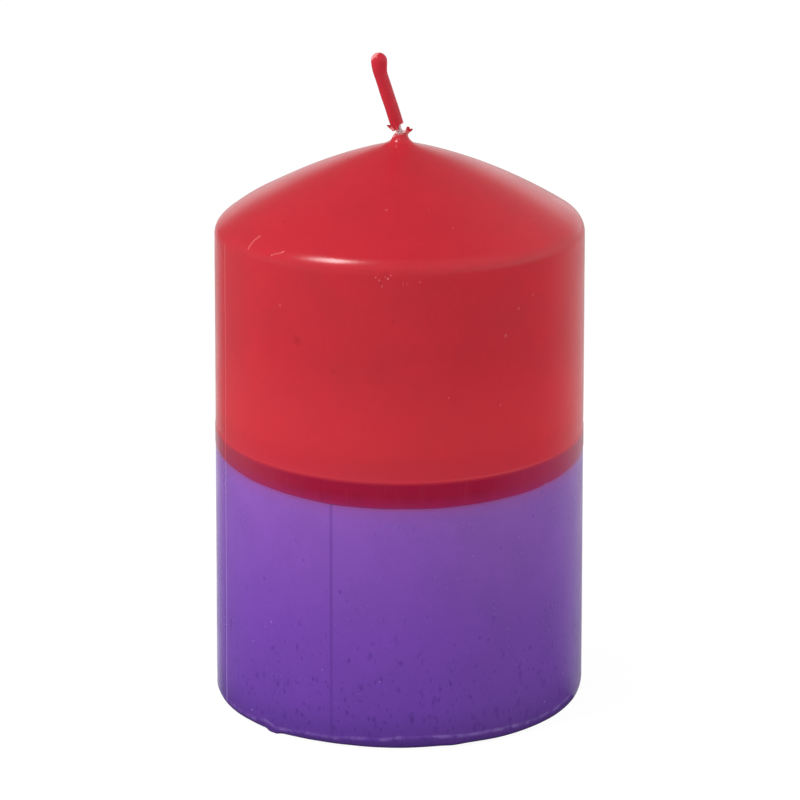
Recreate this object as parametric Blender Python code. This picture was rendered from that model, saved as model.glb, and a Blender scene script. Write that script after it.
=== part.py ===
"""Dip-dye pillar candle: plain wax core, violet and red dip coats, wick, wick foot and waxed wick tip.

Lengths are in metres and +Z is up. The candle stands on z = 0 with its axis on Z. The wick's tip leans to -X and
hinges on the bare braid just above the wax nipple.
"""

import math
from typing import NamedTuple

import bmesh
import bpy
from mathutils import Matrix, Vector

MM = 0.001


class Flake(NamedTuple):
    """Flake of wax that stands out of a broken rim."""

    reach: float  # sideways, at its tip
    lift: float  # along the wick, at its tip
    place: float  # angle round the wick
    half_width: float  # angle from its tip to its side


# Candle body
CANDLE_DIAMETER = 70.0 * MM  # of the wall, carried down to the table
WALL_DRAFT = math.radians(0.4)  # the wall leans inwards, so that the candle leaves its mould
SHOULDER_FILLET = 3.9 * MM
DOME_ARC_RADIUS = 107.0 * MM
DOME_EDGE_SLOPE = math.radians(32.7)  # how steep the dome is just inside the shoulder
FOOT_FILLET = 2.0 * MM

# Heights of the wall on the candle's axis, from the table up
VIOLET_HEIGHT = 49.55 * MM
BAND_WIDTH = 3.4 * MM  # where the red hem laps over the violet tongue
RED_WALL_HEIGHT = 36.7 * MM

# The candle hung askew in both dips, so both coats end lower on the same side
RED_DIP_TILT = math.radians(4.8)
VIOLET_DIP_TILT = math.radians(2.3)
DIP_LOW_SIDE = math.radians(7.5)  # from -Y towards +X

# Dip coats
HEM_THICKNESS = 0.45 * MM
TONGUE_THICKNESS = 0.45 * MM
FIT_GAP = 0.3 * MM  # between pieces that touch on the real candle

# Wax nipple round the wick, on top of the dome
NIPPLE_HEIGHT = 1.0 * MM  # above the crown
NIPPLE_WALL = 0.4 * MM
NIPPLE_FLARE = 3.4 * MM  # radius of the hollow curve into the dome
NIPPLE_FLAKE = Flake(0.95 * MM, 1.5 * MM, math.radians(-12.0), math.radians(38.0))

# Wick
BRAID_DIAMETER = 1.4 * MM
WICK_CLEARANCE = 0.25 * MM  # round the braid in every bore
HINGE_RISE = 0.4 * MM  # from the nipple's rim to the bend
WICK_LEAN = math.radians(17.8)
BEND_REACH = 0.5 * MM  # the braid curves over this much on each side of the hinge
BARE_RUN = 0.7 * MM  # straight bare braid past the curve

# Wax sheath on the wick's tip, along the wick from the hinge up
SHEATH_START = 0.85 * MM
SHEATH_WALL = 0.3 * MM
LIP_RISE = 0.85 * MM  # how much higher the broken lip is on the right
STRAIGHT_LENGTH = 10.95 * MM
TIP_BEND_LENGTH = 2.5 * MM
TIP_LEAN = math.radians(4.0)
DROP_REACH = 0.65 * MM  # from the end of the upper bend to the drop's centre
DROP_SWELL = 0.25 * MM  # how much wider than the sheath the drop is, all round
SWELL_LENGTH = 3.2 * MM
TIP_WAX = 1.6 * MM  # solid wax past the end of the braid
TIP_FLAKE = Flake(1.25 * MM, 1.3 * MM, math.radians(-165.0), math.radians(28.0))

# Small teeth of the two broken rims: waves round the rim, share of the depth, phase
RAGGED_DEPTH = 0.12 * MM
LIP_TEETH = ((5, 0.6, 0.7), (9, 0.4, 0.0))
NIPPLE_TEETH = ((4, 0.7, 1.9), (11, 0.3, 0.4))

# Wick sustainer, the metal foot
DISC_DIAMETER = 20.0 * MM
DISC_THICKNESS = 0.4 * MM
DISC_RECESS = 0.4 * MM  # how far the disc stays above the table
NECK_HEIGHT = 6.0 * MM
NECK_WALL = 0.4 * MM
MOUTH_ROUNDING = 0.5 * MM  # of the core's edge round the neck

# Facets
TURN_STEPS = 64
DOME_POINTS = 12
FILLET_POINTS = 5
BRAID_SIDES = 12
SHEATH_SIDES = 20
SHEATH_RINGS = 14
BORE_RINGS = 6
BEND_RINGS = 7
CAP_RINGS = 5
PATH_STEP = 0.05 * MM
TOLERANCE = 0.01 * MM
SHARP_ANGLE = math.radians(32.0)

# Worked out from the sizes above
BAND_TOP = VIOLET_HEIGHT + BAND_WIDTH
SHOULDER_HEIGHT = BAND_TOP + RED_WALL_HEIGHT
SHOULDER_RADIUS = CANDLE_DIAMETER / 2 - SHOULDER_HEIGHT * math.tan(WALL_DRAFT)
COAT_THICKNESS = HEM_THICKNESS + FIT_GAP + TONGUE_THICKNESS
CORE_INSET = COAT_THICKNESS + FIT_GAP
BASE_COAT = DISC_RECESS + DISC_THICKNESS
CORE_BOTTOM = BASE_COAT + FIT_GAP
BRAID_RADIUS = BRAID_DIAMETER / 2
WICK_BORE = BRAID_RADIUS + WICK_CLEARANCE
NIPPLE_RADIUS = WICK_BORE + NIPPLE_WALL
NECK_RADIUS = WICK_BORE + NECK_WALL
SHEATH_RADIUS = WICK_BORE + SHEATH_WALL
DROP_RADIUS = SHEATH_RADIUS + DROP_SWELL
BEND_END = BEND_REACH + BARE_RUN
LIP_CLEAR = SHEATH_START + LIP_RISE + 2 * RAGGED_DEPTH
TIP_BEND_END = STRAIGHT_LENGTH + TIP_BEND_LENGTH
DROP_CENTRE = TIP_BEND_END + DROP_REACH
BRAID_END = DROP_CENTRE + DROP_RADIUS - TIP_WAX
DOME_CENTRE = (
    SHOULDER_RADIUS - SHOULDER_FILLET + (SHOULDER_FILLET - DOME_ARC_RADIUS) * math.sin(DOME_EDGE_SLOPE),
    SHOULDER_HEIGHT + (SHOULDER_FILLET - DOME_ARC_RADIUS) * math.cos(DOME_EDGE_SLOPE),
)
CROWN_HEIGHT = DOME_CENTRE[1] + math.sqrt(DOME_ARC_RADIUS**2 - DOME_CENTRE[0] ** 2)
NIPPLE_TOP = CROWN_HEIGHT + NIPPLE_HEIGHT
HINGE_HEIGHT = NIPPLE_TOP + HINGE_RISE


def clear_scene():
    """Removes what the file opened with."""
    for old in list(bpy.data.objects):
        bpy.data.objects.remove(old, do_unlink=True)


def make_material(name, colour, roughness, metallic=0.0):
    """Principled material with one plain colour."""
    material = bpy.data.materials.new(name)
    material.use_nodes = True
    shader = material.node_tree.nodes["Principled BSDF"]
    shader.inputs["Base Color"].default_value = (*colour, 1.0)
    shader.inputs["Roughness"].default_value = roughness
    shader.inputs["Metallic"].default_value = metallic
    material.diffuse_color = (*colour, 1.0)
    return material


def make_empty(name, location):
    """Empty that marks a joint."""
    empty = bpy.data.objects.new(name, None)
    empty.empty_display_size = NIPPLE_FLARE
    empty.location = location
    bpy.context.scene.collection.objects.link(empty)
    return empty


def make_object(name, bm, material, parent=None, location=(0.0, 0.0, 0.0)):
    """Turns a bmesh into a smooth-shaded object."""
    bmesh.ops.recalc_face_normals(bm, faces=bm.faces)
    mesh = bpy.data.meshes.new(name)
    bm.to_mesh(mesh)
    bm.free()
    mesh.shade_smooth()
    mesh.set_sharp_from_angle(angle=SHARP_ANGLE)
    mesh.materials.append(material)
    thing = bpy.data.objects.new(name, mesh)
    thing.parent = parent
    thing.location = location
    bpy.context.scene.collection.objects.link(thing)
    return thing


def spread(start, end, count):
    """Evenly spaced values, both ends included."""
    return [start + (end - start) * index / (count - 1) for index in range(count)]


def arc(centre, radius, start, end, count):
    """Points (radius from the axis, height) on an arc, both ends included."""
    return [
        (centre[0] + radius * math.cos(turn), centre[1] + radius * math.sin(turn))
        for turn in spread(start, end, count)
    ]


def on_wall(height, inset=0.0):
    """Outline point at a height on the drafted wall, set in by inset."""
    return CANDLE_DIAMETER / 2 - height * math.tan(WALL_DRAFT) - inset, height


def foot_outline(inset, bottom):
    """Rounded lower edge, set in by inset, from a flat bottom to the wall."""
    fillet = max(FOOT_FILLET - inset, FIT_GAP)
    centre = on_wall(bottom + fillet, inset + fillet)
    return arc(centre, fillet, -math.pi / 2, WALL_DRAFT, FILLET_POINTS)


def turn_towards(start, end):
    """Angle of the line from one outline point to another."""
    return math.atan2(end[1] - start[1], end[0] - start[0])


def top_outline(inset, inner_turn):
    """Shoulder and dome, set in by inset, from the wall up to a turn on the dome's arc."""
    fillet = max(SHOULDER_FILLET - inset, FIT_GAP)
    x = SHOULDER_RADIUS - inset - fillet
    reach = DOME_ARC_RADIUS - inset - fillet
    centre = (x, DOME_CENTRE[1] + math.sqrt(reach**2 - (x - DOME_CENTRE[0]) ** 2))
    edge_turn = turn_towards(DOME_CENTRE, centre)
    shoulder = arc(centre, fillet, WALL_DRAFT, edge_turn, FILLET_POINTS)
    return shoulder + arc(DOME_CENTRE, DOME_ARC_RADIUS - inset, edge_turn, inner_turn, DOME_POINTS)[1:]


def bore_turn(inset):
    """Turn on the dome's arc, set in by inset, where the wick's bore meets it."""
    return math.acos((WICK_BORE - DOME_CENTRE[0]) / (DOME_ARC_RADIUS - inset))


def flare_centre():
    """Centre of the hollow curve that passes the nipple's rim and touches the dome."""
    rim = (NIPPLE_RADIUS, NIPPLE_TOP)
    apart = math.dist(DOME_CENTRE, rim)
    reach = DOME_ARC_RADIUS + NIPPLE_FLARE
    along = (reach**2 - NIPPLE_FLARE**2 + apart**2) / (2 * apart)
    beside = math.sqrt(max(reach**2 - along**2, 0.0))
    turn = turn_towards(DOME_CENTRE, rim)
    return (
        DOME_CENTRE[0] + along * math.cos(turn) + beside * math.sin(turn),
        DOME_CENTRE[1] + along * math.sin(turn) - beside * math.cos(turn),
    )


def spin_outline(outline):
    """Spins a closed outline that stays off the axis into a ring-shaped solid."""
    bm = bmesh.new()
    corners = [bm.verts.new((radius, 0.0, height)) for radius, height in outline]
    edges = [bm.edges.new((corners[index - 1], corners[index])) for index in range(len(corners))]
    bmesh.ops.spin(
        bm,
        geom=corners + edges,
        cent=(0.0, 0.0, 0.0),
        axis=(0.0, 0.0, 1.0),
        angle=math.tau,
        steps=TURN_STEPS,
        use_merge=True,
    )
    return bm


def tilt_rings(bm, level, tilt):
    """Tilts the rings that lie at a level about the axis, and keeps them on the drafted wall."""
    low_side = Vector((math.sin(DIP_LOW_SIDE), -math.cos(DIP_LOW_SIDE), 0.0))
    for vert in [vert for vert in bm.verts if abs(vert.co.z - level) < TOLERANCE]:
        rise = -math.tan(tilt) * vert.co.dot(low_side)
        outward = Vector((vert.co.x, vert.co.y, 0.0)).normalized()
        vert.co += Vector((0.0, 0.0, rise)) - outward * rise * math.tan(WALL_DRAFT)


def eased(value, low, high):
    """Share that eases from 0 at low to 1 at high."""
    share = min(max((value - low) / (high - low), 0.0), 1.0)
    return share * share * (3 - 2 * share)


def lean_at(distance):
    """Lean of the wick from upright at a distance along it from the hinge."""
    lower = WICK_LEAN * eased(distance, -BEND_REACH, BEND_REACH)
    return lower + (TIP_LEAN - WICK_LEAN) * eased(distance, STRAIGHT_LENGTH, TIP_BEND_END)


def wick_frame(distance):
    """Frame on the wick, measured from the hinge point, with its Z axis along the wick."""
    steps = max(1, math.ceil(abs(distance) / PATH_STEP))
    step = distance / steps
    leans = [lean_at((index + 0.5) * step) for index in range(steps)]
    place = Vector((-sum(map(math.sin, leans)) * step, 0.0, sum(map(math.cos, leans)) * step))
    return Matrix.Translation(place) @ Matrix.Rotation(-lean_at(distance), 4, "Y")


def sweep_rings(stations, sides):
    """Sweeps a circle through stations of (distance, radius) along the wick and caps both ends.

    Returns the bmesh and the vertices of each ring.
    """
    bm = bmesh.new()
    distance, radius = stations[0]
    frame = wick_frame(distance)
    made = bmesh.ops.create_circle(bm, cap_ends=True, radius=radius, segments=sides, matrix=frame)
    rings = [made["verts"]]
    loop = list(bm.edges)
    for next_distance, next_radius in stations[1:]:
        made = bmesh.ops.extrude_edge_only(bm, edges=loop)["geom"]
        verts = [item for item in made if isinstance(item, bmesh.types.BMVert)]
        edges = [item for item in made if isinstance(item, bmesh.types.BMEdge)]
        loop = [edge for edge in edges if all(vert in verts for vert in edge.verts)]
        next_frame = wick_frame(next_distance)
        resize = Matrix.Scale(next_radius / radius, 4)
        bmesh.ops.transform(bm, matrix=next_frame @ resize @ frame.inverted(), verts=verts)
        rings.append(verts)
        frame = next_frame
        radius = next_radius
    bmesh.ops.edgeloop_fill(bm, edges=loop)
    return bm, rings


def braid_stations(distances):
    """Stations of the braid's own radius."""
    return [(distance, BRAID_RADIUS) for distance in distances]


def flake_share(angle, flake):
    """How far a flake stands out at an angle round the wick, from 0 beside it to 1 at its tip."""
    off = abs((angle - flake.place + math.pi) % math.tau - math.pi)
    return max(0.0, 1 - off / flake.half_width) ** 1.5


def teeth_at(angle, teeth):
    """Height of a ragged rim's small teeth at an angle round the wick."""
    return RAGGED_DEPTH * sum(share * math.sin(waves * angle + phase) for waves, share, phase in teeth)


def lip_rise(angle):
    """Broken lip of the sheath, high on the right side of the wick."""
    return LIP_RISE * eased(math.cos(angle), -0.1, 0.5) + teeth_at(angle, LIP_TEETH)


def nipple_rise(angle):
    """Ragged rim of the nipple."""
    return teeth_at(angle, NIPPLE_TEETH)


def break_rim(verts, frame, rise, flake):
    """Moves a rim's vertices along the wick by rise(angle) and pulls one flake out of it."""
    for vert in verts:
        local = frame.inverted() @ vert.co
        angle = math.atan2(local.y, local.x)
        share = flake_share(angle, flake)
        outward = Vector((local.x, local.y, 0.0)).normalized() * flake.reach * share
        upward = Vector((0.0, 0.0, rise(angle) + flake.lift * share))
        vert.co = frame @ (local + outward + upward)


def make_wax_core(material):
    """Plain wax pillar under the coats, bored for the wick and its foot."""
    mouth = (NECK_RADIUS + FIT_GAP + MOUTH_ROUNDING, CORE_BOTTOM + MOUTH_ROUNDING)
    pocket_top = DISC_RECESS + NECK_HEIGHT + FIT_GAP
    outline = foot_outline(CORE_INSET, CORE_BOTTOM) + top_outline(CORE_INSET, bore_turn(CORE_INSET))
    outline += [(WICK_BORE, pocket_top), (NECK_RADIUS + FIT_GAP, pocket_top)]
    outline += arc(mouth, MOUTH_ROUNDING, math.pi, 1.5 * math.pi, FILLET_POINTS)
    return make_object("wax_core", spin_outline(outline), material)


def make_violet_dip_coat(material):
    """Lower coat with its foot, base and the tongue that the red hem laps over."""
    hole = DISC_DIAMETER / 2 + FIT_GAP
    step = VIOLET_HEIGHT - FIT_GAP
    tongue_inset = HEM_THICKNESS + FIT_GAP
    tongue_top = BAND_TOP - FIT_GAP
    outline = [(hole, 0.0)] + foot_outline(0.0, 0.0)
    outline += [on_wall(step), on_wall(step, tongue_inset), on_wall(tongue_top, tongue_inset)]
    outline += [on_wall(tongue_top, COAT_THICKNESS)]
    outline += reversed(foot_outline(COAT_THICKNESS, BASE_COAT))
    outline += [(hole, BASE_COAT)]
    bm = spin_outline(outline)
    tilt_rings(bm, step, RED_DIP_TILT)
    tilt_rings(bm, tongue_top, VIOLET_DIP_TILT)
    return make_object("violet_dip_coat", bm, material)


def make_red_dip_coat(material):
    """Upper coat: hem, wall, dome and the broken nipple round the wick."""
    flare = flare_centre()
    flare_end = turn_towards(flare, DOME_CENTRE) + math.tau
    flare_start = turn_towards(flare, (NIPPLE_RADIUS, NIPPLE_TOP)) + math.tau
    outline = [on_wall(VIOLET_HEIGHT)] + top_outline(0.0, turn_towards(DOME_CENTRE, flare))
    outline += arc(flare, NIPPLE_FLARE, flare_end, flare_start, FILLET_POINTS)[1:]
    outline += [(WICK_BORE, NIPPLE_TOP)]
    outline += reversed(top_outline(COAT_THICKNESS, bore_turn(COAT_THICKNESS)))
    outline += [on_wall(BAND_TOP, COAT_THICKNESS), on_wall(BAND_TOP, HEM_THICKNESS)]
    outline += [on_wall(VIOLET_HEIGHT, HEM_THICKNESS)]
    bm = spin_outline(outline)
    tilt_rings(bm, VIOLET_HEIGHT, RED_DIP_TILT)
    tilt_rings(bm, BAND_TOP, VIOLET_DIP_TILT)
    rim = [vert for vert in bm.verts if vert.co.z > NIPPLE_TOP - TOLERANCE]
    break_rim(rim, Matrix.Identity(4), nipple_rise, NIPPLE_FLAKE)
    return make_object("red_dip_coat", bm, material)


def make_wick_sustainer(material):
    """Stamped disc with a neck that grips the wick's lower end."""
    disc_top = DISC_RECESS + DISC_THICKNESS
    neck_top = DISC_RECESS + NECK_HEIGHT
    neck_fillet = MOUTH_ROUNDING + FIT_GAP
    fillet_centre = (NECK_RADIUS + neck_fillet, disc_top + neck_fillet)
    outline = [(WICK_BORE, DISC_RECESS), (DISC_DIAMETER / 2, DISC_RECESS), (DISC_DIAMETER / 2, disc_top)]
    outline += arc(fillet_centre, neck_fillet, 1.5 * math.pi, math.pi, FILLET_POINTS)
    outline += [(NECK_RADIUS, neck_top), (WICK_BORE, neck_top)]
    return make_object("wick_sustainer", spin_outline(outline), material)


def make_wick(material):
    """Buried length of the braid, from the metal foot to just below the nipple's rim."""
    top = -HINGE_RISE - BEND_REACH - FIT_GAP
    bm, _ = sweep_rings(braid_stations([DISC_RECESS - HINGE_HEIGHT, top]), BRAID_SIDES)
    return make_object("wick", bm, material, location=(0.0, 0.0, HINGE_HEIGHT))


def make_wick_bend(material):
    """Bare braid that bends where the sheath has broken."""
    curve = spread(-BEND_REACH, BEND_REACH, BEND_RINGS)
    distances = [-HINGE_RISE - BEND_REACH] + curve + [BEND_END]
    bm, _ = sweep_rings(braid_stations(distances), BRAID_SIDES)
    return make_object("wick_bend", bm, material, location=(0.0, 0.0, HINGE_HEIGHT))


def make_wick_tip(material, hinge):
    """Braid inside the sheath."""
    distances = spread(BEND_END + FIT_GAP, BRAID_END, SHEATH_RINGS)
    bm, _ = sweep_rings(braid_stations(distances), BRAID_SIDES)
    return make_object("wick_tip", bm, material, parent=hinge)


def sheath_station(distance):
    """Station on the sheath's outside, which swells into the drop."""
    swell = DROP_SWELL * eased(distance, DROP_CENTRE - SWELL_LENGTH, DROP_CENTRE)
    return distance, SHEATH_RADIUS + swell


def drop_station(turn):
    """Station on the drop's round end, at a turn up from its widest ring."""
    return DROP_CENTRE + DROP_RADIUS * math.sin(turn), DROP_RADIUS * math.cos(turn)


def make_wick_tip_coat(material, hinge):
    """Wax sheath with the frozen drop at its tip and a broken lip at its foot."""
    bore = spread(BRAID_END + WICK_CLEARANCE, LIP_CLEAR, BORE_RINGS)
    stations = [(distance, WICK_BORE) for distance in bore + [SHEATH_START]]
    stations += [(SHEATH_START, SHEATH_RADIUS)]
    stations += [sheath_station(distance) for distance in spread(LIP_CLEAR, DROP_CENTRE, SHEATH_RINGS)]
    cap_turns = spread(0.0, math.pi / 2, CAP_RINGS + 2)[1:-1]
    stations += [drop_station(turn) for turn in cap_turns]
    bm, rings = sweep_rings(stations, SHEATH_SIDES)
    break_rim(rings[BORE_RINGS] + rings[BORE_RINGS + 1], wick_frame(SHEATH_START), lip_rise, TIP_FLAKE)
    return make_object("wick_tip_coat", bm, material, parent=hinge)


def main():
    """Builds every piece of the candle."""
    clear_scene()
    plain_wax = make_material("plain_wax", (0.83, 0.78, 0.66), 0.5)
    red_wax = make_material("red_wax", (0.52, 0.022, 0.032), 0.38)
    violet_wax = make_material("violet_wax", (0.165, 0.060, 0.37), 0.42)
    cotton = make_material("cotton", (0.80, 0.76, 0.70), 0.9)
    tinned_steel = make_material("tinned_steel", (0.62, 0.62, 0.60), 0.35, metallic=1.0)
    hinge = make_empty("wick_hinge", (0.0, 0.0, HINGE_HEIGHT))
    make_wax_core(plain_wax)
    make_violet_dip_coat(violet_wax)
    make_red_dip_coat(red_wax)
    make_wick_sustainer(tinned_steel)
    make_wick(cotton)
    make_wick_bend(cotton)
    make_wick_tip(cotton, hinge)
    make_wick_tip_coat(red_wax, hinge)


main()
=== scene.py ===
"""Looks of the dip-dye pillar candle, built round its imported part.

Lengths are in metres and +Z is up. The candle stands on z = 0, and the camera looks at it along +Y.
An azimuth is measured round the candle from -Y, the front, towards +X.
"""

import logging
import math
from dataclasses import dataclass, field
from enum import Enum
from typing import Callable, Mapping, Sequence

import bmesh
import bpy
from bmesh.types import BMesh
from bpy.types import Material, Node, NodeSocket, NodeTree, Object
from mathutils import Matrix, Vector, noise


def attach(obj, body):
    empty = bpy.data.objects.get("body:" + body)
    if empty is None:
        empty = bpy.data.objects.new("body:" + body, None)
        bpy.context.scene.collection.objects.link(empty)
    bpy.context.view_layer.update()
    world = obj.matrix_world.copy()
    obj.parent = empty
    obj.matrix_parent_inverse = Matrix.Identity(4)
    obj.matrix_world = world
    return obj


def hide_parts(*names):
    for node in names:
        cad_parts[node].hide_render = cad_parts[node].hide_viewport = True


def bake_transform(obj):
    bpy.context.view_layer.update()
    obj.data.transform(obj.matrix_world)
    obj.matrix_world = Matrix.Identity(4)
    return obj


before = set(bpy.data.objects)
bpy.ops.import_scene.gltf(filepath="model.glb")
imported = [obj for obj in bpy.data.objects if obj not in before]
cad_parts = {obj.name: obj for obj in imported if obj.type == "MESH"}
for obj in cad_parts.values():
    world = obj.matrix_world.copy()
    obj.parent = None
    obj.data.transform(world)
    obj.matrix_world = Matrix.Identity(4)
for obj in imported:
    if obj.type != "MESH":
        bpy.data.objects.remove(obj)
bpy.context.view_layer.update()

LOG = logging.getLogger("candle")
MM = 0.001
SHARP_ANGLE = math.radians(40.0)
TURN_STEPS = 300
WHITE = (1.0, 1.0, 1.0, 1.0)
Pair = tuple[float, float]
Outline = list[Pair]  # points as (radius from the axis, height)
Table = tuple[Pair, ...]  # rows of (azimuth in degrees, value), in rising order
Colour = tuple[float, float, float]
Inputs = Mapping[str | int, object]
Sockets = Mapping[str, NodeSocket]


class Body(Enum):
    """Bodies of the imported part."""

    CANDLE = "candle"
    WICK_END = "wick_end"


class Slot(Enum):
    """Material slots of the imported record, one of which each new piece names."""

    VIOLET_WAX = "violet_wax"
    RED_WAX = "red_wax"
    COTTON = "cotton"
    TINNED_STEEL = "tinned_steel"


# Plain helpers


def spread(start: float, end: float, count: int) -> list[float]:
    """Evenly spaced values from start to end, both included."""
    return [start + (end - start) * index / (count - 1) for index in range(count)]


def arc(centre: Pair, radius: float, start: float, end: float, count: int) -> Outline:
    """Points on an arc of an outline, from one turn to another, measured from outwards towards up."""
    turns = spread(start, end, count)
    return [(centre[0] + radius * math.cos(turn), centre[1] + radius * math.sin(turn)) for turn in turns]


def turn_towards(start: Pair, end: Pair) -> float:
    """Angle of the line from one outline point to another."""
    return math.atan2(end[1] - start[1], end[0] - start[0])


def eased(value: float, low: float, high: float) -> float:
    """Share that eases from 0 at low to 1 at high."""
    share = min(max((value - low) / (high - low), 0.0), 1.0)
    return share * share * (3 - 2 * share)


def hump(value: float, centre: float, width: float) -> float:
    """Bell curve, 1 at its centre and about a third at its width."""
    return math.exp(-(((value - centre) / width) ** 2))


def azimuth_of(point: Vector) -> float:
    """Azimuth of a point round the candle, in degrees."""
    return math.degrees(math.atan2(point.x, -point.y))


def outward_at(azimuth: float) -> Vector:
    """Level unit vector out of the candle at an azimuth in degrees."""
    return Vector((math.sin(math.radians(azimuth)), -math.cos(math.radians(azimuth)), 0.0))


def round_table(azimuth: float, table: Table) -> float:
    """Value that runs smoothly through a table round the candle.

    Args:
        azimuth: Where to read it, in degrees from -180 to 180.
        table: The table.

    Returns:
        The value there.
    """
    rows = [(table[-1][0] - 360, table[-1][1]), *table, (table[0][0] + 360, table[0][1])]
    for (low, before), (high, after) in zip(rows, rows[1:]):
        if low <= azimuth <= high:
            return before + (after - before) * eased(azimuth, low, high)
    return table[0][1]


def srgb(red: int, green: int, blue: int) -> Colour:
    """Linear colour of an 8-bit screen colour."""
    shares = (value / 255 for value in (red, green, blue))
    return tuple(v / 12.92 if v <= 0.04045 else ((v + 0.055) / 1.055) ** 2.4 for v in shares)


# Shapes that the pieces share


@dataclass(frozen=True)
class BodyShape:
    """Outline of the candle's body and the slant of its two dips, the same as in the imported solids."""

    foot_radius: float = 35.0 * MM
    wall_draft: float = math.radians(0.4)
    shoulder_fillet: float = 3.9 * MM
    dome_arc: float = 107.0 * MM
    dome_edge_slope: float = math.radians(32.7)
    foot_fillet: float = 2.0 * MM
    hem_height: float = 49.55 * MM
    band_width: float = 3.4 * MM
    red_wall_height: float = 36.7 * MM
    red_dip_slope: float = math.tan(math.radians(4.8))
    violet_dip_slope: float = math.tan(math.radians(2.3))
    dip_low_side: float = 7.5  # azimuth
    dip_fade: float = 16.0 * MM  # the slant dies out over this much of the wall
    dome_slant: float = 0.0057  # the dome set askew, higher on the +X side
    worn_from: Pair = (8 * MM, 30 * MM)  # the shoulder gets rounder this far to the left
    worn_rise: float = 0.14 * MM
    worn_rise_height: float = 95.6 * MM
    worn_sink: float = 0.24 * MM
    worn_sink_height: float = 92.7 * MM
    notch_depth: float = 0.3 * MM  # in the hem
    notch_azimuth: float = 50.7
    hem_thickness: float = 0.45 * MM
    coat_thickness: float = 1.2 * MM
    fit_gap: float = 0.3 * MM
    wick_bore: float = 0.95 * MM
    nipple_wall: float = 0.4 * MM
    nipple_height: float = 1.0 * MM
    nipple_flare: float = 3.4 * MM

    @property
    def band_top(self) -> float:
        """Height of the violet tongue's end on the axis."""
        return self.hem_height + self.band_width

    @property
    def shoulder_height(self) -> float:
        """Height at which the wall ends."""
        return self.band_top + self.red_wall_height

    @property
    def dome_centre(self) -> Pair:
        """Centre of the dome's arc, as (radius from the axis, height)."""
        radius = self.foot_radius - self.shoulder_height * math.tan(self.wall_draft)
        drop = self.shoulder_fillet - self.dome_arc
        return (
            radius - self.shoulder_fillet + drop * math.sin(self.dome_edge_slope),
            self.shoulder_height + drop * math.cos(self.dome_edge_slope),
        )

    @property
    def crown_height(self) -> float:
        """Height of the dome on the axis, without the nipple."""
        return self.dome_centre[1] + math.sqrt(self.dome_arc**2 - self.dome_centre[0] ** 2)

    @property
    def nipple_top(self) -> float:
        """Height of the nipple's rim."""
        return self.crown_height + self.nipple_height

    @property
    def nipple_radius(self) -> float:
        """Outer radius of the nipple's rim."""
        return self.wick_bore + self.nipple_wall

    def wall(self, height: float, inset: float = 0.0) -> Pair:
        """Outline point at a height on the wall, set in by inset."""
        return self.foot_radius - height * math.tan(self.wall_draft) - inset, height

    def wall_point(self, azimuth: float, height: float) -> Vector:
        """Point on the wall at an azimuth in degrees and a height."""
        return outward_at(azimuth) * self.wall(height)[0] + Vector((0.0, 0.0, height))

    def foot(self, inset: float, bottom: float, count: int) -> Outline:
        """Rounded lower edge from the flat bottom to the wall.

        Args:
            inset: How far it lies inside the outer surface.
            bottom: Height of the flat bottom.
            count: How many points.

        Returns:
            The points.
        """
        fillet = max(self.foot_fillet - inset, self.fit_gap)
        centre = self.wall(bottom + fillet, inset + fillet)
        return arc(centre, fillet, -math.pi / 2, self.wall_draft, count)

    def top(self, inset: float, inner_turn: float, counts: tuple[int, int]) -> Outline:
        """Shoulder and dome from the wall inwards.

        Args:
            inset: How far they lie inside the outer surface.
            inner_turn: Turn on the dome's arc at which they end.
            counts: How many points on the shoulder and on the dome.

        Returns:
            The points.
        """
        fillet = max(self.shoulder_fillet - inset, self.fit_gap)
        x = self.wall(self.shoulder_height, inset + fillet)[0]
        reach = self.dome_arc - inset - fillet
        centre = (x, self.dome_centre[1] + math.sqrt(reach**2 - (x - self.dome_centre[0]) ** 2))
        edge = turn_towards(self.dome_centre, centre)
        shoulder = arc(centre, fillet, self.wall_draft, edge, counts[0])
        return shoulder + arc(self.dome_centre, self.dome_arc - inset, edge, inner_turn, counts[1])[1:]

    def bore_turn(self, inset: float) -> float:
        """Turn on the dome's arc, set in by inset, where the wick's bore meets it."""
        return math.acos((self.wick_bore - self.dome_centre[0]) / (self.dome_arc - inset))

    def flare_centre(self) -> Pair:
        """Centre of the hollow curve that joins the nipple's rim to the dome."""
        rim = (self.nipple_radius, self.nipple_top)
        apart = math.dist(self.dome_centre, rim)
        reach = self.dome_arc + self.nipple_flare
        along = (reach**2 - self.nipple_flare**2 + apart**2) / (2 * apart)
        beside = math.sqrt(max(reach**2 - along**2, 0.0))
        turn = turn_towards(self.dome_centre, rim)
        return (
            self.dome_centre[0] + along * math.cos(turn) + beside * math.sin(turn),
            self.dome_centre[1] + along * math.sin(turn) - beside * math.cos(turn),
        )

    def slant_at(self, height: float) -> float:
        """Slope of a row of the wall, the dips' own at their edges and none far from them."""
        if height >= self.band_top:
            return self.violet_dip_slope * (1 - eased(height, self.band_top, self.band_top + self.dip_fade))
        if height >= self.hem_height:
            share = (height - self.hem_height) / self.band_width
            return self.red_dip_slope + (self.violet_dip_slope - self.red_dip_slope) * share
        return self.red_dip_slope * eased(height, self.hem_height - self.dip_fade, self.hem_height)

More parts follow.
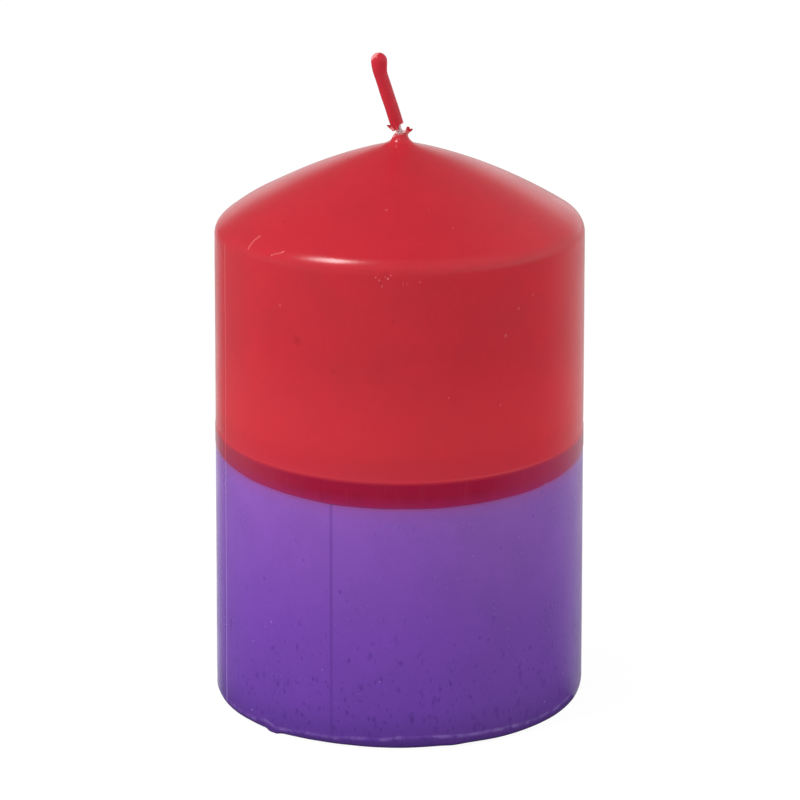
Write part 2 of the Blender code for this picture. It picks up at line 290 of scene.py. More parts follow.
    def settle(self, point: Vector) -> Vector:
        """Moves a point of the plain turned body to where the slanted, uneven candle has it.

        Args:
            point: Point of the body as it was turned.

        Returns:
            The point on the candle.
        """
        height = point.z
        rise = -self.slant_at(height) * point.dot(outward_at(self.dip_low_side))
        rise += self.hem_wobble(azimuth_of(point)) * hump(height, self.hem_height, 2.5 * MM)
        rise += self.dome_slant * point.x * eased(height, self.band_top + self.dip_fade, self.shoulder_height)
        level = Vector((point.x, point.y, 0.0))
        outward = level.normalized() if level.length > self.nipple_radius else Vector()
        worn = eased(-point.x, *self.worn_from)
        rise += self.worn_rise * worn * hump(height, self.worn_rise_height, 1.5 * MM)
        swell = self.unevenness(point) - rise * math.tan(self.wall_draft)
        swell -= self.worn_sink * worn * hump(height, self.worn_sink_height, 1.1 * MM)
        return point + outward * swell + Vector((0.0, 0.0, rise))

    def hem_wobble(self, azimuth: float) -> float:
        """Small waves of the red hem, and the notch in it near the right side."""
        turn = math.radians(azimuth)
        waves = 0.05 * math.sin(5 * turn + 0.6) + 0.04 * math.sin(11 * turn + 2.0)
        waves += 0.02 * math.sin(23 * turn)
        return waves * MM + self.notch_depth * hump(azimuth, self.notch_azimuth, 1.1)

    def unevenness(self, point: Vector) -> float:
        """Shallow swells of hand-dipped wax, which die out at the foot's edge."""
        broad = noise.noise(point * 42.0 + Vector((3.0, 1.0, 7.0))) * 0.045
        fine = noise.noise(point * 150.0 + Vector((0.0, 5.0, 2.0))) * 0.012
        return (broad + fine) * MM * eased(point.z, 2.0 * MM, 7.0 * MM)


@dataclass(frozen=True)
class Seam:
    """Upright mould line: a fine groove with a fine ridge beside it."""

    azimuth: float
    slant: float = 0.0  # how far it runs round the wall per length upwards
    level: float = 40.0 * MM  # height at which it has its azimuth
    depth: float = 0.05 * MM
    half_width: float = 0.16 * MM
    ridge_offset: float = 0.42 * MM
    ridge: float = 0.6  # height of the ridge as a share of the groove's depth
    top: float = 91.0 * MM  # it ends here, on the shoulder
    groove_shade: float = 0.5  # how strong the painted shade line in the groove is
    light: float = 0.0  # how strong the painted highlight line on the ridge is
    line_width: float = 0.42 * MM

    @property
    def outward(self) -> Vector:
        """Level direction out of the candle at the seam."""
        return outward_at(self.azimuth)

    @property
    def across(self) -> Vector:
        """Direction across the seam, towards a higher azimuth."""
        return Vector((-self.outward.y, self.outward.x, -self.slant))

    def offset(self, point: Vector) -> float:
        """Distance of a point beside the seam, towards a higher azimuth."""
        return point.dot(self.across) + self.slant * self.level

    def cut(self, bm: BMesh) -> None:
        """Cuts rows of fine edges into a turned wall along the seam.

        Args:
            bm: The turned wall.
        """
        stations = (-2.0, -1.0, 0.0, 1.0, self.ridge_offset / self.half_width, 4.5)
        for station in stations:
            shift = station * self.half_width
            near = [face for face in bm.faces if self.is_near(face.calc_center_median())]
            edges = {edge for face in near for edge in face.edges}
            verts = {vert for face in near for vert in face.verts}
            bmesh.ops.bisect_plane(
                bm,
                geom=[*near, *edges, *verts],
                dist=1e-8,
                plane_co=self.across.normalized() * (shift - self.slant * self.level),
                plane_no=self.across.normalized(),
            )

    def is_near(self, point: Vector) -> bool:
        """Whether a point lies on the seam's side of the candle and close to it."""
        beside = point.dot(self.outward) > 0 and abs(self.offset(point)) < 3.0 * MM
        return beside and point.z < self.top + 2.0 * MM

    def relief(self, point: Vector) -> float:
        """How far the seam moves a point outwards."""
        if not self.is_near(point):
            return 0.0
        offset = self.offset(point)
        groove = hump(offset, 0.0, self.half_width)
        ridge = self.ridge * hump(offset, self.ridge_offset, 1.2 * self.half_width)
        return self.depth * (ridge - groove) * (1 - eased(point.z, self.top - 2.0 * MM, self.top))


@dataclass
class WickLine:
    """Centre line of the wick, upright in the candle, bent at the hinge and again under the drop."""

    hinge_rise: float = 0.4 * MM
    lean: float = math.radians(17.8)
    bend_reach: float = 0.5 * MM
    straight_length: float = 10.95 * MM
    tip_bend_length: float = 2.5 * MM
    tip_lean: float = math.radians(4.0)
    step: float = 0.05 * MM
    end: float = 17.0 * MM
    hinge: Vector = field(default_factory=Vector)
    places: list[Vector] = field(default_factory=list)

    def __post_init__(self) -> None:
        """Works out the line's points from the lower end of the bend upwards."""
        self.hinge = Vector((0.0, 0.0, BodyShape().nipple_top + self.hinge_rise))
        below = round(self.bend_reach / self.step)
        place = Vector()
        walk = [place.copy()]
        for index in range(below):
            place -= self.heading(-(index + 0.5) * self.step) * self.step
            walk.insert(0, place.copy())
        place = Vector()
        for index in range(round(self.end / self.step)):
            place += self.heading((index + 0.5) * self.step) * self.step
            walk.append(place.copy())
        self.places = walk

    def lean_at(self, distance: float) -> float:
        """Lean from upright at a distance along the wick from the hinge."""
        lower = self.lean * eased(distance, -self.bend_reach, self.bend_reach)
        bend_end = self.straight_length + self.tip_bend_length
        return lower + (self.tip_lean - self.lean) * eased(distance, self.straight_length, bend_end)

    def heading(self, distance: float) -> Vector:
        """Direction of the wick at a distance from the hinge."""
        lean = self.lean_at(distance)
        return Vector((-math.sin(lean), 0.0, math.cos(lean)))

    def place(self, distance: float) -> Vector:
        """Point of the wick at a distance from the hinge, below it where the distance is negative."""
        if distance <= -self.bend_reach:
            return self.hinge + self.places[0] + Vector((0.0, 0.0, distance + self.bend_reach))
        steps = (distance + self.bend_reach) / self.step
        index = min(int(steps), len(self.places) - 2)
        return self.hinge + self.places[index].lerp(self.places[index + 1], steps - index)

    def bend(self, point: Vector) -> Vector:
        """Carries a point round an upright axis, with z the distance along the wick, to round the wick."""
        across = Matrix.Rotation(-self.lean_at(point.z), 3, "Y") @ Vector((point.x, point.y, 0.0))
        return self.place(point.z) + across


# Making meshes


def revolve(outline: Outline, closed: bool = True, steps: int = TURN_STEPS) -> BMesh:
    """Spins an outline round the Z axis into a closed solid.

    Args:
        outline: Its points, anticlockwise seen with the axis on the left.
        closed: Whether the last point joins the first. An open outline starts and ends on the axis.
        steps: How many steps the turn has.

    Returns:
        The solid's bmesh.
    """
    bm = bmesh.new()
    corners = [bm.verts.new((radius, 0.0, height)) for radius, height in outline]
    pairs = list(zip(corners, corners[1:])) + ([(corners[-1], corners[0])] if closed else [])
    edges = [bm.edges.new(pair) for pair in pairs]
    bmesh.ops.spin(
        bm,
        geom=corners + edges,
        cent=(0.0, 0.0, 0.0),
        axis=(0.0, 0.0, 1.0),
        angle=math.tau,
        steps=steps,
        use_merge=True,
    )
    bmesh.ops.remove_doubles(bm, verts=bm.verts, dist=1e-7)
    return bm


def reshape(bm: BMesh, move: Callable[[Vector], Vector]) -> None:
    """Moves every vertex of a bmesh to where a function has it."""
    for vert in bm.verts:
        vert.co = move(vert.co.copy())


def seamed_shell(outline: Outline, seams: Sequence[Seam], move: Callable[[Vector], Vector]) -> BMesh:
    """Makes a coat.

    Args:
        outline: Its outline.
        seams: The mould lines to cut into it.
        move: Gives a vertex's place on the candle from its place on the turned coat.

    Returns:
        The coat's bmesh.
    """
    bm = revolve(outline)
    for seam in seams:
        seam.cut(bm)
    reshape(bm, move)
    return bm


def seam_relief(point: Vector, body: BodyShape, seams: Sequence[Seam]) -> Vector:
    """How the seams move a point of a turned coat, where it lies on the outer wall."""
    if point.xy.length <= body.wall(point.z, 0.3 * MM)[0]:
        return Vector()
    return outward_at(azimuth_of(point)) * sum(seam.relief(point) for seam in seams)


@dataclass(frozen=True)
class Piece:
    """How a finished mesh joins the candle."""

    name: str
    slot: Slot
    body: Body | None = Body.CANDLE
    replaces: tuple[str, ...] = ()

    def finish(
        self,
        bm: BMesh,
        material: Material,
        values: Mapping[str, Callable[[Vector], float]] | None = None,
    ) -> Object:
        """Turns a bmesh into the finished piece.

        Args:
            bm: The piece's mesh, in its place.
            material: Its material.
            values: Values that the material reads, by name, each worked out from a vertex's place.

        Returns:
            The piece.
        """
        bmesh.ops.recalc_face_normals(bm, faces=bm.faces)
        mesh = bpy.data.meshes.new(self.name)
        bm.to_mesh(mesh)
        bm.free()
        mesh.shade_smooth()
        mesh.set_sharp_from_angle(angle=SHARP_ANGLE)
        mesh.materials.append(material)
        for name, value_at in (values or {}).items():
            layer = mesh.attributes.new(name, "FLOAT", "POINT")
            layer.data.foreach_set("value", [value_at(vert.co) for vert in mesh.vertices])
        thing = bpy.data.objects.new(self.name, mesh)
        bpy.context.scene.collection.objects.link(thing)
        if self.body:
            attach(thing, self.body.value)
        if self.replaces:
            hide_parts(*self.replaces)
        LOG.info("%s: %d faces", self.name, len(mesh.polygons))
        return thing


# Node trees


class Graph:
    """Node tree that is filled one call at a time."""

    def __init__(self, tree: NodeTree) -> None:
        """Starts on an empty or ready tree."""
        self.tree = tree

    def node(self, kind: str, inputs: Inputs | None = None, **settings: object) -> Node:
        """Adds a node.

        Args:
            kind: The node's type name.
            inputs: Sockets or plain values for its inputs.
            **settings: The node's own settings.

        Returns:
            The node.
        """
        made = self.tree.nodes.new(kind)
        for name, value in settings.items():
            setattr(made, name, value)
        for key, value in (inputs or {}).items():
            self.feed(made.inputs[key], value)
        return made

    def feed(self, socket: NodeSocket, value: object) -> None:
        """Links a socket into an input, or sets the input's plain value."""
        if isinstance(value, NodeSocket):
            self.tree.links.new(value, socket)
        else:
            socket.default_value = value

    def math(self, operation: str, *values: object) -> NodeSocket:
        """Result of a Math node on up to three values."""
        return self.node("ShaderNodeMath", dict(enumerate(values)), operation=operation).outputs[0]

    def vector(self, operation: str, *values: object) -> NodeSocket:
        """Vector result of a Vector Math node."""
        return self.node("ShaderNodeVectorMath", dict(enumerate(values)), operation=operation).outputs[0]

    def measure(self, operation: str, *values: object) -> NodeSocket:
        """Number that a Vector Math node gives."""
        return self.node("ShaderNodeVectorMath", dict(enumerate(values)), operation=operation).outputs[1]

    def axes(self, vector: object) -> Sequence[NodeSocket]:
        """The x, y and z of a vector."""
        return self.node("ShaderNodeSeparateXYZ", {0: vector}).outputs

    def attribute(self, name: str) -> NodeSocket:
        """Value that a mesh holds for each of its points."""
        return self.node("ShaderNodeAttribute", attribute_name=name).outputs["Fac"]

    def ease(
        self, value: object, low: object, high: object, start: object = 0.0, end: object = 1.0
    ) -> NodeSocket:
        """Value that eases from start to end as another goes from low to high."""
        inputs = dict(enumerate((value, low, high, start, end)))
        return self.node("ShaderNodeMapRange", inputs, interpolation_type="SMOOTHSTEP").outputs[0]

    def mix(self, share: object, first: object, second: object, mode: str = "MIX") -> NodeSocket:
        """Colour between two, by a share."""
        inputs = {0: share, 6: self.opaque(first), 7: self.opaque(second)}
        return self.node("ShaderNodeMix", inputs, data_type="RGBA", blend_type=mode).outputs[2]

    def noise(self, vector: object, scale: object, detail: float = 2.0, rough: float = 0.5) -> NodeSocket:
        """Plain noise, about 0.5 on average."""
        inputs = {"Vector": vector, "Scale": scale, "Detail": detail, "Roughness": rough}
        return self.node("ShaderNodeTexNoise", inputs).outputs[0]

    def ramp(self, value: object, stops: Sequence[tuple[float, Colour]]) -> NodeSocket:
        """Colour ramp with smooth steps between its stops."""
        made = self.node("ShaderNodeValToRGB", {0: value})
        elements = made.color_ramp.elements
        while len(elements) < len(stops):
            elements.new(0.5)
        for element, (place, colour) in zip(elements, stops):
            element.position = place
            element.color = (*colour, 1.0)
        return made.outputs[0]

    def group(self, tree: NodeTree, **inputs: object) -> Sockets:
        """Places a node group and gives its outputs."""
        return self.node("ShaderNodeGroup", inputs, node_tree=tree).outputs

    @staticmethod
    def opaque(colour: object) -> object:
        """Gives a plain colour its fourth value."""
        return (*colour, 1.0) if isinstance(colour, tuple) and len(colour) == 3 else colour


class MaterialGraph(Graph):
    """Graph of a new material, with its shader and its place: object coordinates, the candle's own frame."""

    def __init__(self, name: str, roughness: float, **values: object) -> None:
        """Starts a material.

        Args:
            name: The material's name.
            roughness: Plain roughness, until something feeds it.
            **values: Plain values of other sockets, with underscores for spaces.
        """
        self.material = bpy.data.materials.new(name)
        self.material.use_nodes = True
        super().__init__(self.material.node_tree)
        self.shader = self.tree.nodes["Principled BSDF"]
        for socket, value in {"Roughness": roughness, **values}.items():
            self.shader.inputs[socket.replace("_", " ")].default_value = value
        self.place = self.node("ShaderNodeTexCoord").outputs["Object"]

    def dress(self, colour: object, rough: object, height: object, strength: float, depth: float) -> Material:
        """Feeds the shader.

        Args:
            colour: Base colour.
            rough: Roughness.
            height: Height of the fine relief, from 0 to 1 and a little beyond.
            strength: How strong the relief is.
            depth: How deep it is.

        Returns:
            The finished material.
        """
        relief = self.node("ShaderNodeBump", {"Height": height, "Strength": strength, "Distance": depth})
        for socket, value in (("Base Color", colour), ("Roughness", rough), ("Normal", relief.outputs[0])):
            self.feed(self.shader.inputs[socket], value)
        return self.material


class Effects:
    """Node groups that several finishes share."""

    seam_rim = 32.0 * MM  # a mould line shows further out than this, so not on the base

    def __init__(self) -> None:
        """Builds each group once."""
        self.mottle = self.build_mottle()
        self.blots = self.build_blots()
        self.specks = self.build_specks()
        self.mark = self.build_mark()
        self.dip_line = self.build_dip_line()
        self.seam = self.build_seam()

    @staticmethod
    def start(
        name: str, vectors: Sequence[str], numbers: Sequence[str], results: Sequence[str]
    ) -> tuple[Graph, Sockets, Sockets]:
        """Starts a node group.

        Args:
            name: The group's name.
            vectors: Names of the inputs that are vectors.
            numbers: Names of the inputs that are numbers.
            results: Names of the outputs, all numbers.

        Returns:
            The group's graph, what it is given and what it gives.
        """
        tree = bpy.data.node_groups.new(name, "ShaderNodeTree")
        rows = (("INPUT", "Vector", vectors), ("INPUT", "Float", numbers), ("OUTPUT", "Float", results))
        for way, kind, sockets in rows:
            for socket in sockets:
                tree.interface.new_socket(name=socket, in_out=way, socket_type=f"NodeSocket{kind}")
        graph = Graph(tree)
        return graph, graph.node("NodeGroupInput").outputs, graph.node("NodeGroupOutput").inputs

    def build_mottle(self) -> NodeTree:
        """Cloudy unevenness of dipped wax, with the height of its fine ripples."""
        graph, given, out = self.start("wax mottle", ["Vector"], ["Scale"], ["Shade", "Height"])
        vector, scale = given["Vector"], given["Scale"]
        clouds = graph.noise(vector, scale, 3.0, 0.55)
        grain = graph.noise(vector, graph.math("MULTIPLY", scale, 9.0), 3.0, 0.6)
        shade = graph.math("ADD", graph.math("MULTIPLY", clouds, 0.65), graph.math("MULTIPLY", grain, 0.35))
        graph.feed(out["Shade"], graph.ease(shade, 0.3, 0.7))
        graph.feed(out["Height"], graph.math("ADD", clouds, graph.math("MULTIPLY", grain, 0.25)))
        return graph.tree

    def build_blots(self) -> NodeTree:
        """Soft upright blots under the wax's surface, few at a Density of 0 and many at 1."""
        graph, given, out = self.start("wax blots", ["Vector"], ["Scale", "Density"], ["Mask"])
        upright = graph.vector("MULTIPLY", given["Vector"], (1.0, 1.0, 0.6))
        clouds = graph.noise(upright, given["Scale"], 1.0, 0.5)
        low = graph.math("MULTIPLY_ADD", given["Density"], -0.13, 0.72)
        graph.feed(out["Mask"], graph.ease(clouds, low, graph.math("ADD", low, 0.13)))
        return graph.tree

    def build_specks(self) -> NodeTree:
        """Small spots at random places, as dense as Density says, from 0 to 1."""
        graph, given, out = self.start("wax specks", ["Vector"], ["Scale", "Density", "Size"], ["Mask"])
        where = {"Vector": given["Vector"], "Scale": given["Scale"]}
        cells = graph.node("ShaderNodeTexVoronoi", where).outputs
        chance = graph.node("ShaderNodeSeparateColor", {0: cells["Color"]}).outputs
        kept = graph.math("LESS_THAN", chance[0], given["Density"])
        reach = graph.math("MULTIPLY", given["Size"], graph.math("ADD", chance[1], 0.4))
        near = graph.ease(cells["Distance"], graph.math("MULTIPLY", reach, 0.55), reach, 1.0, 0.0)
        graph.feed(out["Mask"], graph.math("MULTIPLY", kept, near))
        return graph.tree

    def build_mark(self) -> NodeTree:
        """One soft mark at a place, with its own size along each axis and a ragged edge."""
        graph, given, out = self.start("wax mark", ["Vector", "Centre", "Size"], ["Ragged"], ["Mask"])
        apart = graph.vector("SUBTRACT", given["Vector"], given["Centre"])
        share = graph.measure("LENGTH", graph.vector("DIVIDE", apart, given["Size"]))
        rough = graph.math("SUBTRACT", graph.noise(given["Vector"], 2500.0, 2.0, 0.6), 0.5)
        reach = graph.math("MULTIPLY_ADD", rough, given["Ragged"], share)
        graph.feed(out["Mask"], graph.ease(reach, 0.05, 1.0, 1.0, 0.0))
        return graph.tree

    def build_dip_line(self) -> NodeTree:
        """Height of a point above the slanted edge of a dip."""
        graph, given, out = self.start("dip line", ["Vector", "Slope"], ["Level"], ["Above"])
        rise = graph.math("SUBTRACT", graph.axes(given["Vector"])[2], given["Level"])
        slant = graph.measure("DOT_PRODUCT", given["Vector"], given["Slope"])
        graph.feed(out["Above"], graph.math("SUBTRACT", rise, slant))
        return graph.tree

    def build_seam(self) -> NodeTree:
        """Painted shade in the groove and painted highlight on the ridge of a mould line."""
        vectors, numbers = ["Vector", "Across", "Outward"], ["Shift", "Top", "Ridge", "Width"]
        graph, given, out = self.start("mould line", vectors, numbers, ["Dark", "Light"])
        place, top = given["Vector"], given["Top"]
        side = graph.measure("DOT_PRODUCT", place, given["Outward"])
        side = graph.math("GREATER_THAN", side, self.seam_rim)
        below = graph.ease(graph.axes(place)[2], graph.math("SUBTRACT", top, 2.0 * MM), top, 1.0, 0.0)
        side = graph.math("MULTIPLY", side, below)
        offset = graph.measure("DOT_PRODUCT", place, given["Across"])
        offset = graph.math("ADD", offset, given["Shift"])
        for name, centre in (("Dark", 0.0), ("Light", given["Ridge"])):
            apart = graph.math("ABSOLUTE", graph.math("SUBTRACT", offset, centre))
            line = graph.ease(apart, 0.0, given["Width"], 1.0, 0.0)
            graph.feed(out[name], graph.math("MULTIPLY", side, line))
        return graph.tree


# Finishes


@dataclass(frozen=True)
class Mark:
    """Soft mark on the wax."""

    centre: Vector
    size: Vector
    share: float
    ragged: float = 0.5

    @classmethod
    def on_wall(cls, azimuth: float, height: float, size: float, share: float, tall: float = 1.0) -> "Mark":
        """Mark on the wall.

        Args:
            azimuth: Its azimuth in degrees.
            height: Its height in millimetres.
            size: Its radius in millimetres.
            share: How strong it is.
            tall: How many times taller than wide it is.

        Returns:
            The mark.
        """
        centre = BodyShape().wall_point(azimuth, height * MM)
        return cls(centre, Vector((size, size, size * tall)) * MM, share)

    @classmethod
    def on_dome(cls, x: float, y: float, z: float, size: float, share: float) -> "Mark":
        """Mark on the dome, at a place in millimetres."""
        return cls(Vector((x, y, z)) * MM, Vector((size, size, size)) * MM, share)


def wall_marks(*rows: tuple[float, ...]) -> tuple[Mark, ...]:
    """Marks on the wall, from rows of azimuth, height, radius, strength and, if any, upward stretch."""
    return tuple(Mark.on_wall(*row) for row in rows)


def dome_marks(*rows: tuple[float, ...]) -> tuple[Mark, ...]:
    """Marks on the dome, from rows of x, y, z, radius and strength."""
    return tuple(Mark.on_dome(*row) for row in rows)


@dataclass(frozen=True)
class Finish:
    """Base of the finishes, with the node groups that they share."""

    effects: Effects

    def mottle(self, graph: MaterialGraph, scale: float) -> tuple[NodeSocket, NodeSocket]:
        """Shade and height of the wax's mottle."""
        mottle = graph.group(self.effects.mottle, Vector=graph.place, Scale=scale)
        return mottle["Shade"], mottle["Height"]


@dataclass(frozen=True)
class DipWax(Finish):
    """Base of the two dips' finishes, with their specks, marks and mould lines."""

    body: BodyShape
    seams_shown: tuple[Seam, ...] = ()

    def above_dip(self, graph: MaterialGraph, level: float, slope: float) -> NodeSocket:
        """Height above the edge of a dip, which stands at a level on the axis and has a slope."""
        slant = outward_at(self.body.dip_low_side) * -slope
        return graph.group(self.effects.dip_line, Vector=graph.place, Level=level, Slope=slant)["Above"]

    def specks(self, graph: MaterialGraph, scale: float, density: float, size: float) -> NodeSocket:
        """Mask of small specks."""
        sizes = {"Scale": scale, "Density": density, "Size": size}
        return graph.group(self.effects.specks, Vector=graph.place, **sizes)["Mask"]

    def marked(self, graph: MaterialGraph, colour: object, marks: Sequence[Mark], tint: Colour) -> NodeSocket:
        """Lays marks of one tint over a colour.

        Args:
            graph: The material's graph.
            colour: The colour so far.
            marks: The marks.
            tint: Their colour.

        Returns:
            The marked colour.
        """
        total: object = 0.0
        for mark in marks:
            spot = {"Centre": mark.centre, "Size": mark.size, "Ragged": mark.ragged}
            mask = graph.group(self.effects.mark, Vector=graph.place, **spot)["Mask"]
            total = graph.math("MULTIPLY_ADD", mask, mark.share, total)
        return graph.mix(graph.math("MINIMUM", total, 1.0), colour, tint)

    def seamed(self, graph: MaterialGraph, colour: object, groove: Colour, ridge: Colour) -> NodeSocket:
        """Lays the seams' painted shade lines in the grooves and painted highlight lines on the ridges over a
        colour.

        Args:
            graph: The material's graph.
            colour: The colour so far.
            groove: Colour of the painted shade in the grooves.
            ridge: Colour of the painted highlight on the ridges.

        Returns:
            The colour with the lines.
        """
        groove_shade: object = 0.0
        light: object = 0.0
        for seam in self.seams_shown:
            way = {"Across": seam.across, "Outward": seam.outward, "Shift": seam.slant * seam.level}
            reach = {"Top": seam.top, "Ridge": seam.ridge_offset, "Width": seam.line_width}
            made = graph.group(self.effects.seam, Vector=graph.place, **way, **reach)
            # painted shade in the groove and painted highlight on the ridge
            groove_shade = graph.math("MULTIPLY_ADD", made["Dark"], seam.groove_shade, groove_shade)
            light = graph.math("MULTIPLY_ADD", made["Light"], seam.light, light)
        return graph.mix(light, graph.mix(groove_shade, colour, groove), ridge)


@dataclass(frozen=True)
class RedWax(DipWax):
    """Red dip coat, with the darker band where it lies over the violet one."""

    name: str = "red_wax_dipped"
    specular: float = 0.5
    wall: Colour = srgb(191, 38, 50)
    cloud: Colour = srgb(183, 35, 47)
    warm: Colour = srgb(205, 45, 56)  # a little above the band
    painted_band_glow: Colour = srgb(194, 45, 62)  # painted glow of light through the wax just above it
    band: Colour = srgb(149, 0, 48)
    band_deep: Colour = srgb(138, 0, 44)
    # streaks in the band, and the painted grazing reflection at its sides
    band_streaks_and_side_sheen: Colour = srgb(158, 42, 68)
    hem: Colour = srgb(146, 34, 98)
    smudge: Colour = srgb(150, 26, 38)
    fleck: Colour = srgb(226, 120, 122)
    broken: Colour = srgb(226, 128, 130)
    crumbled: Colour = srgb(234, 196, 192)
    # painted shade in the seams' grooves and painted highlight on their ridges
    seam_groove_shade: Colour = srgb(160, 34, 48)
    seam_ridge_highlight: Colour = srgb(216, 92, 98)
    smudges: tuple[Mark, ...] = wall_marks(
        (-32.4, 76.6, 1.3, 0.5), (-2.0, 81.8, 0.5, 0.5), (-20.0, 71.8, 0.8, 0.3), (-42.3, 81.0, 0.7, 0.3),
    ) + dome_marks((-20.7, -18.3, 95.9, 0.8, 0.4), (-12.3, -4.8, 102.8, 0.6, 0.35)) + wall_marks(
        (6.2, 88.5, 0.3, 0.35), (-4.4, 90.2, 1.0, 0.2), (-5.6, 88.6, 0.3, 0.5, 2.0), (-3.0, 89.2, 0.35, 0.5),
        (-3.6, 90.6, 0.3, 0.45),
    )
    flecks: tuple[Mark, ...] = wall_marks((14.7, 67.2, 0.22, 0.6), (31.8, 64.7, 0.22, 0.6)) + dome_marks(
        (9.5, -25.0, 96.4, 0.25, 0.45), (5.2, -21.5, 98.9, 0.2, 0.45), (22.2, -15.7, 96.2, 0.25, 0.5),
        (24.2, -15.1, 95.5, 0.25, 0.5),
    )
    chips: tuple[Mark, ...] = wall_marks(  # in the chipped spot under the shoulder's middle
        (-7.1, 89.7, 0.25, 0.5), (-6.0, 89.2, 0.28, 0.6), (-5.2, 88.1, 0.2, 0.4, 2.5), (-3.4, 89.5, 0.3, 0.8),
        (-4.2, 89.8, 0.2, 0.6), (-2.6, 90.1, 0.22, 0.6), (-3.1, 90.9, 0.2, 0.5), (-5.3, 91.2, 0.16, 0.3, 3.0),
        (3.3, 91.6, 0.2, 0.3, 5.0), (4.5, 91.4, 0.16, 0.25, 4.0), (1.0, 88.6, 0.14, 0.3, 5.0),
        (2.2, 88.6, 0.14, 0.25, 4.0), (6.0, 88.8, 0.28, 0.4),
    )
    scratches: tuple[Mark, ...] = dome_marks(  # two, on the left shoulder
        (-25.34, -18.94, 93.33, 0.4, 0.6), (-25.66, -19.01, 93.1, 0.34, 0.7),
        (-25.99, -19.12, 92.87, 0.32, 0.75), (-26.31, -19.27, 92.61, 0.32, 0.75),
        (-26.61, -19.45, 92.32, 0.32, 0.75), (-26.88, -19.65, 92.0, 0.32, 0.75),
        (-27.13, -19.85, 91.64, 0.3, 0.7), (-27.3, -20.06, 91.28, 0.26, 0.6),
        (-22.94, -24.88, 91.37, 0.34, 0.5), (-22.59, -25.03, 91.56, 0.3, 0.45),
        (-22.23, -25.21, 91.7, 0.28, 0.5), (-21.86, -25.42, 91.81, 0.28, 0.6),
        (-21.5, -25.6, 91.93, 0.28, 0.6), (-21.13, -25.72, 92.09, 0.3, 0.7),
        (-20.81, -25.76, 92.26, 0.3, 0.7),
    )

    def build(self) -> Material:
        """Builds the material."""
        graph = MaterialGraph(self.name, 0.3, IOR=1.44, Specular_IOR_Level=self.specular)
        shade, ripples = self.mottle(graph, 120.0)
        line = self.above_dip(graph, self.body.band_top, self.body.violet_dip_slope)
        colour = graph.mix(shade, self.wall, self.cloud)
        far = graph.ease(line, 8.0 * MM, 24.0 * MM, 0.5, 0.0)
        near = graph.math("MULTIPLY", graph.ease(line, 1.0 * MM, 6.0 * MM), far)
        colour = graph.mix(near, colour, self.warm)
        # painted glow along the band's upper edge
        colour = graph.mix(graph.ease(line, 0.0, 5.0 * MM, 0.6, 0.0), colour, self.painted_band_glow)
        colour = self.marked(graph, colour, self.smudges, self.smudge)
        in_band = graph.ease(line, -0.7 * MM, 0.3 * MM, 1.0, 0.0)
        colour = graph.mix(in_band, colour, self.band_colour(graph, line))
        colour = self.marked(graph, colour, self.flecks + self.chips + self.scratches, self.fleck)
        specks = self.specks(graph, 420.0, 0.03, 0.13)
        colour = graph.mix(graph.math("MULTIPLY", specks, 0.25), colour, self.fleck)
        colour = self.seamed(graph, colour, self.seam_groove_shade, self.seam_ridge_highlight)
        whitened = graph.attribute("whitened")
        colour = graph.mix(graph.ease(whitened, 0.0, 0.6), colour, self.broken)
        colour = graph.mix(graph.ease(whitened, 0.6, 1.0), colour, self.crumbled)
        rough = graph.math("MULTIPLY_ADD", shade, 0.08, 0.19)
        rough = graph.math("MULTIPLY_ADD", whitened, 0.25, rough)
        height = graph.math("MULTIPLY_ADD", specks, 0.3, ripples)
        return graph.dress(colour, rough, height, 0.3, 0.12 * MM)

    def band_colour(self, graph: MaterialGraph, line: object) -> NodeSocket:
        """Colour of the band, deeper low down at the front, with a painted grazing reflection at the sides,
        and violet at the hem.

        Args:
            graph: The material's graph.
            line: Height above the band's upper edge.

        Returns:
            The colour.
        """
        clouds = graph.ease(graph.noise(graph.place, 330.0, 4.0, 0.6), 0.42, 0.62)
        lower = graph.ease(line, -3.8 * MM, -1.6 * MM, 1.0, 0.0)
        colour = graph.mix(graph.math("MULTIPLY", clouds, lower), self.band, self.band_deep)
        streaks = graph.noise(graph.vector("MULTIPLY", graph.place, (1.0, 1.0, 0.12)), 900.0)
        colour = graph.mix(graph.ease(streaks, 0.5, 0.9, 0.0, 0.25), colour, self.band_streaks_and_side_sheen)
        # painted grazing reflection on the band's sides
        across = graph.axes(graph.place)[0]
        side = graph.math("ABSOLUTE", across)
        colour = graph.mix(graph.ease(side, 14 * MM, 34 * MM, 0.0, 0.9), colour, self.band_streaks_and_side_sheen)
        colour = graph.mix(graph.ease(across, 12 * MM, 32 * MM, 0.0, 0.25), colour, self.hem)
        hem = self.above_dip(graph, self.body.hem_height, self.body.red_dip_slope)
        colour = graph.mix(graph.ease(hem, 0.0, 2.6 * MM, 0.4, 0.0), colour, self.hem)
        return graph.mix(graph.ease(hem, 0.0, 0.6 * MM, 0.6, 0.0), colour, self.hem)


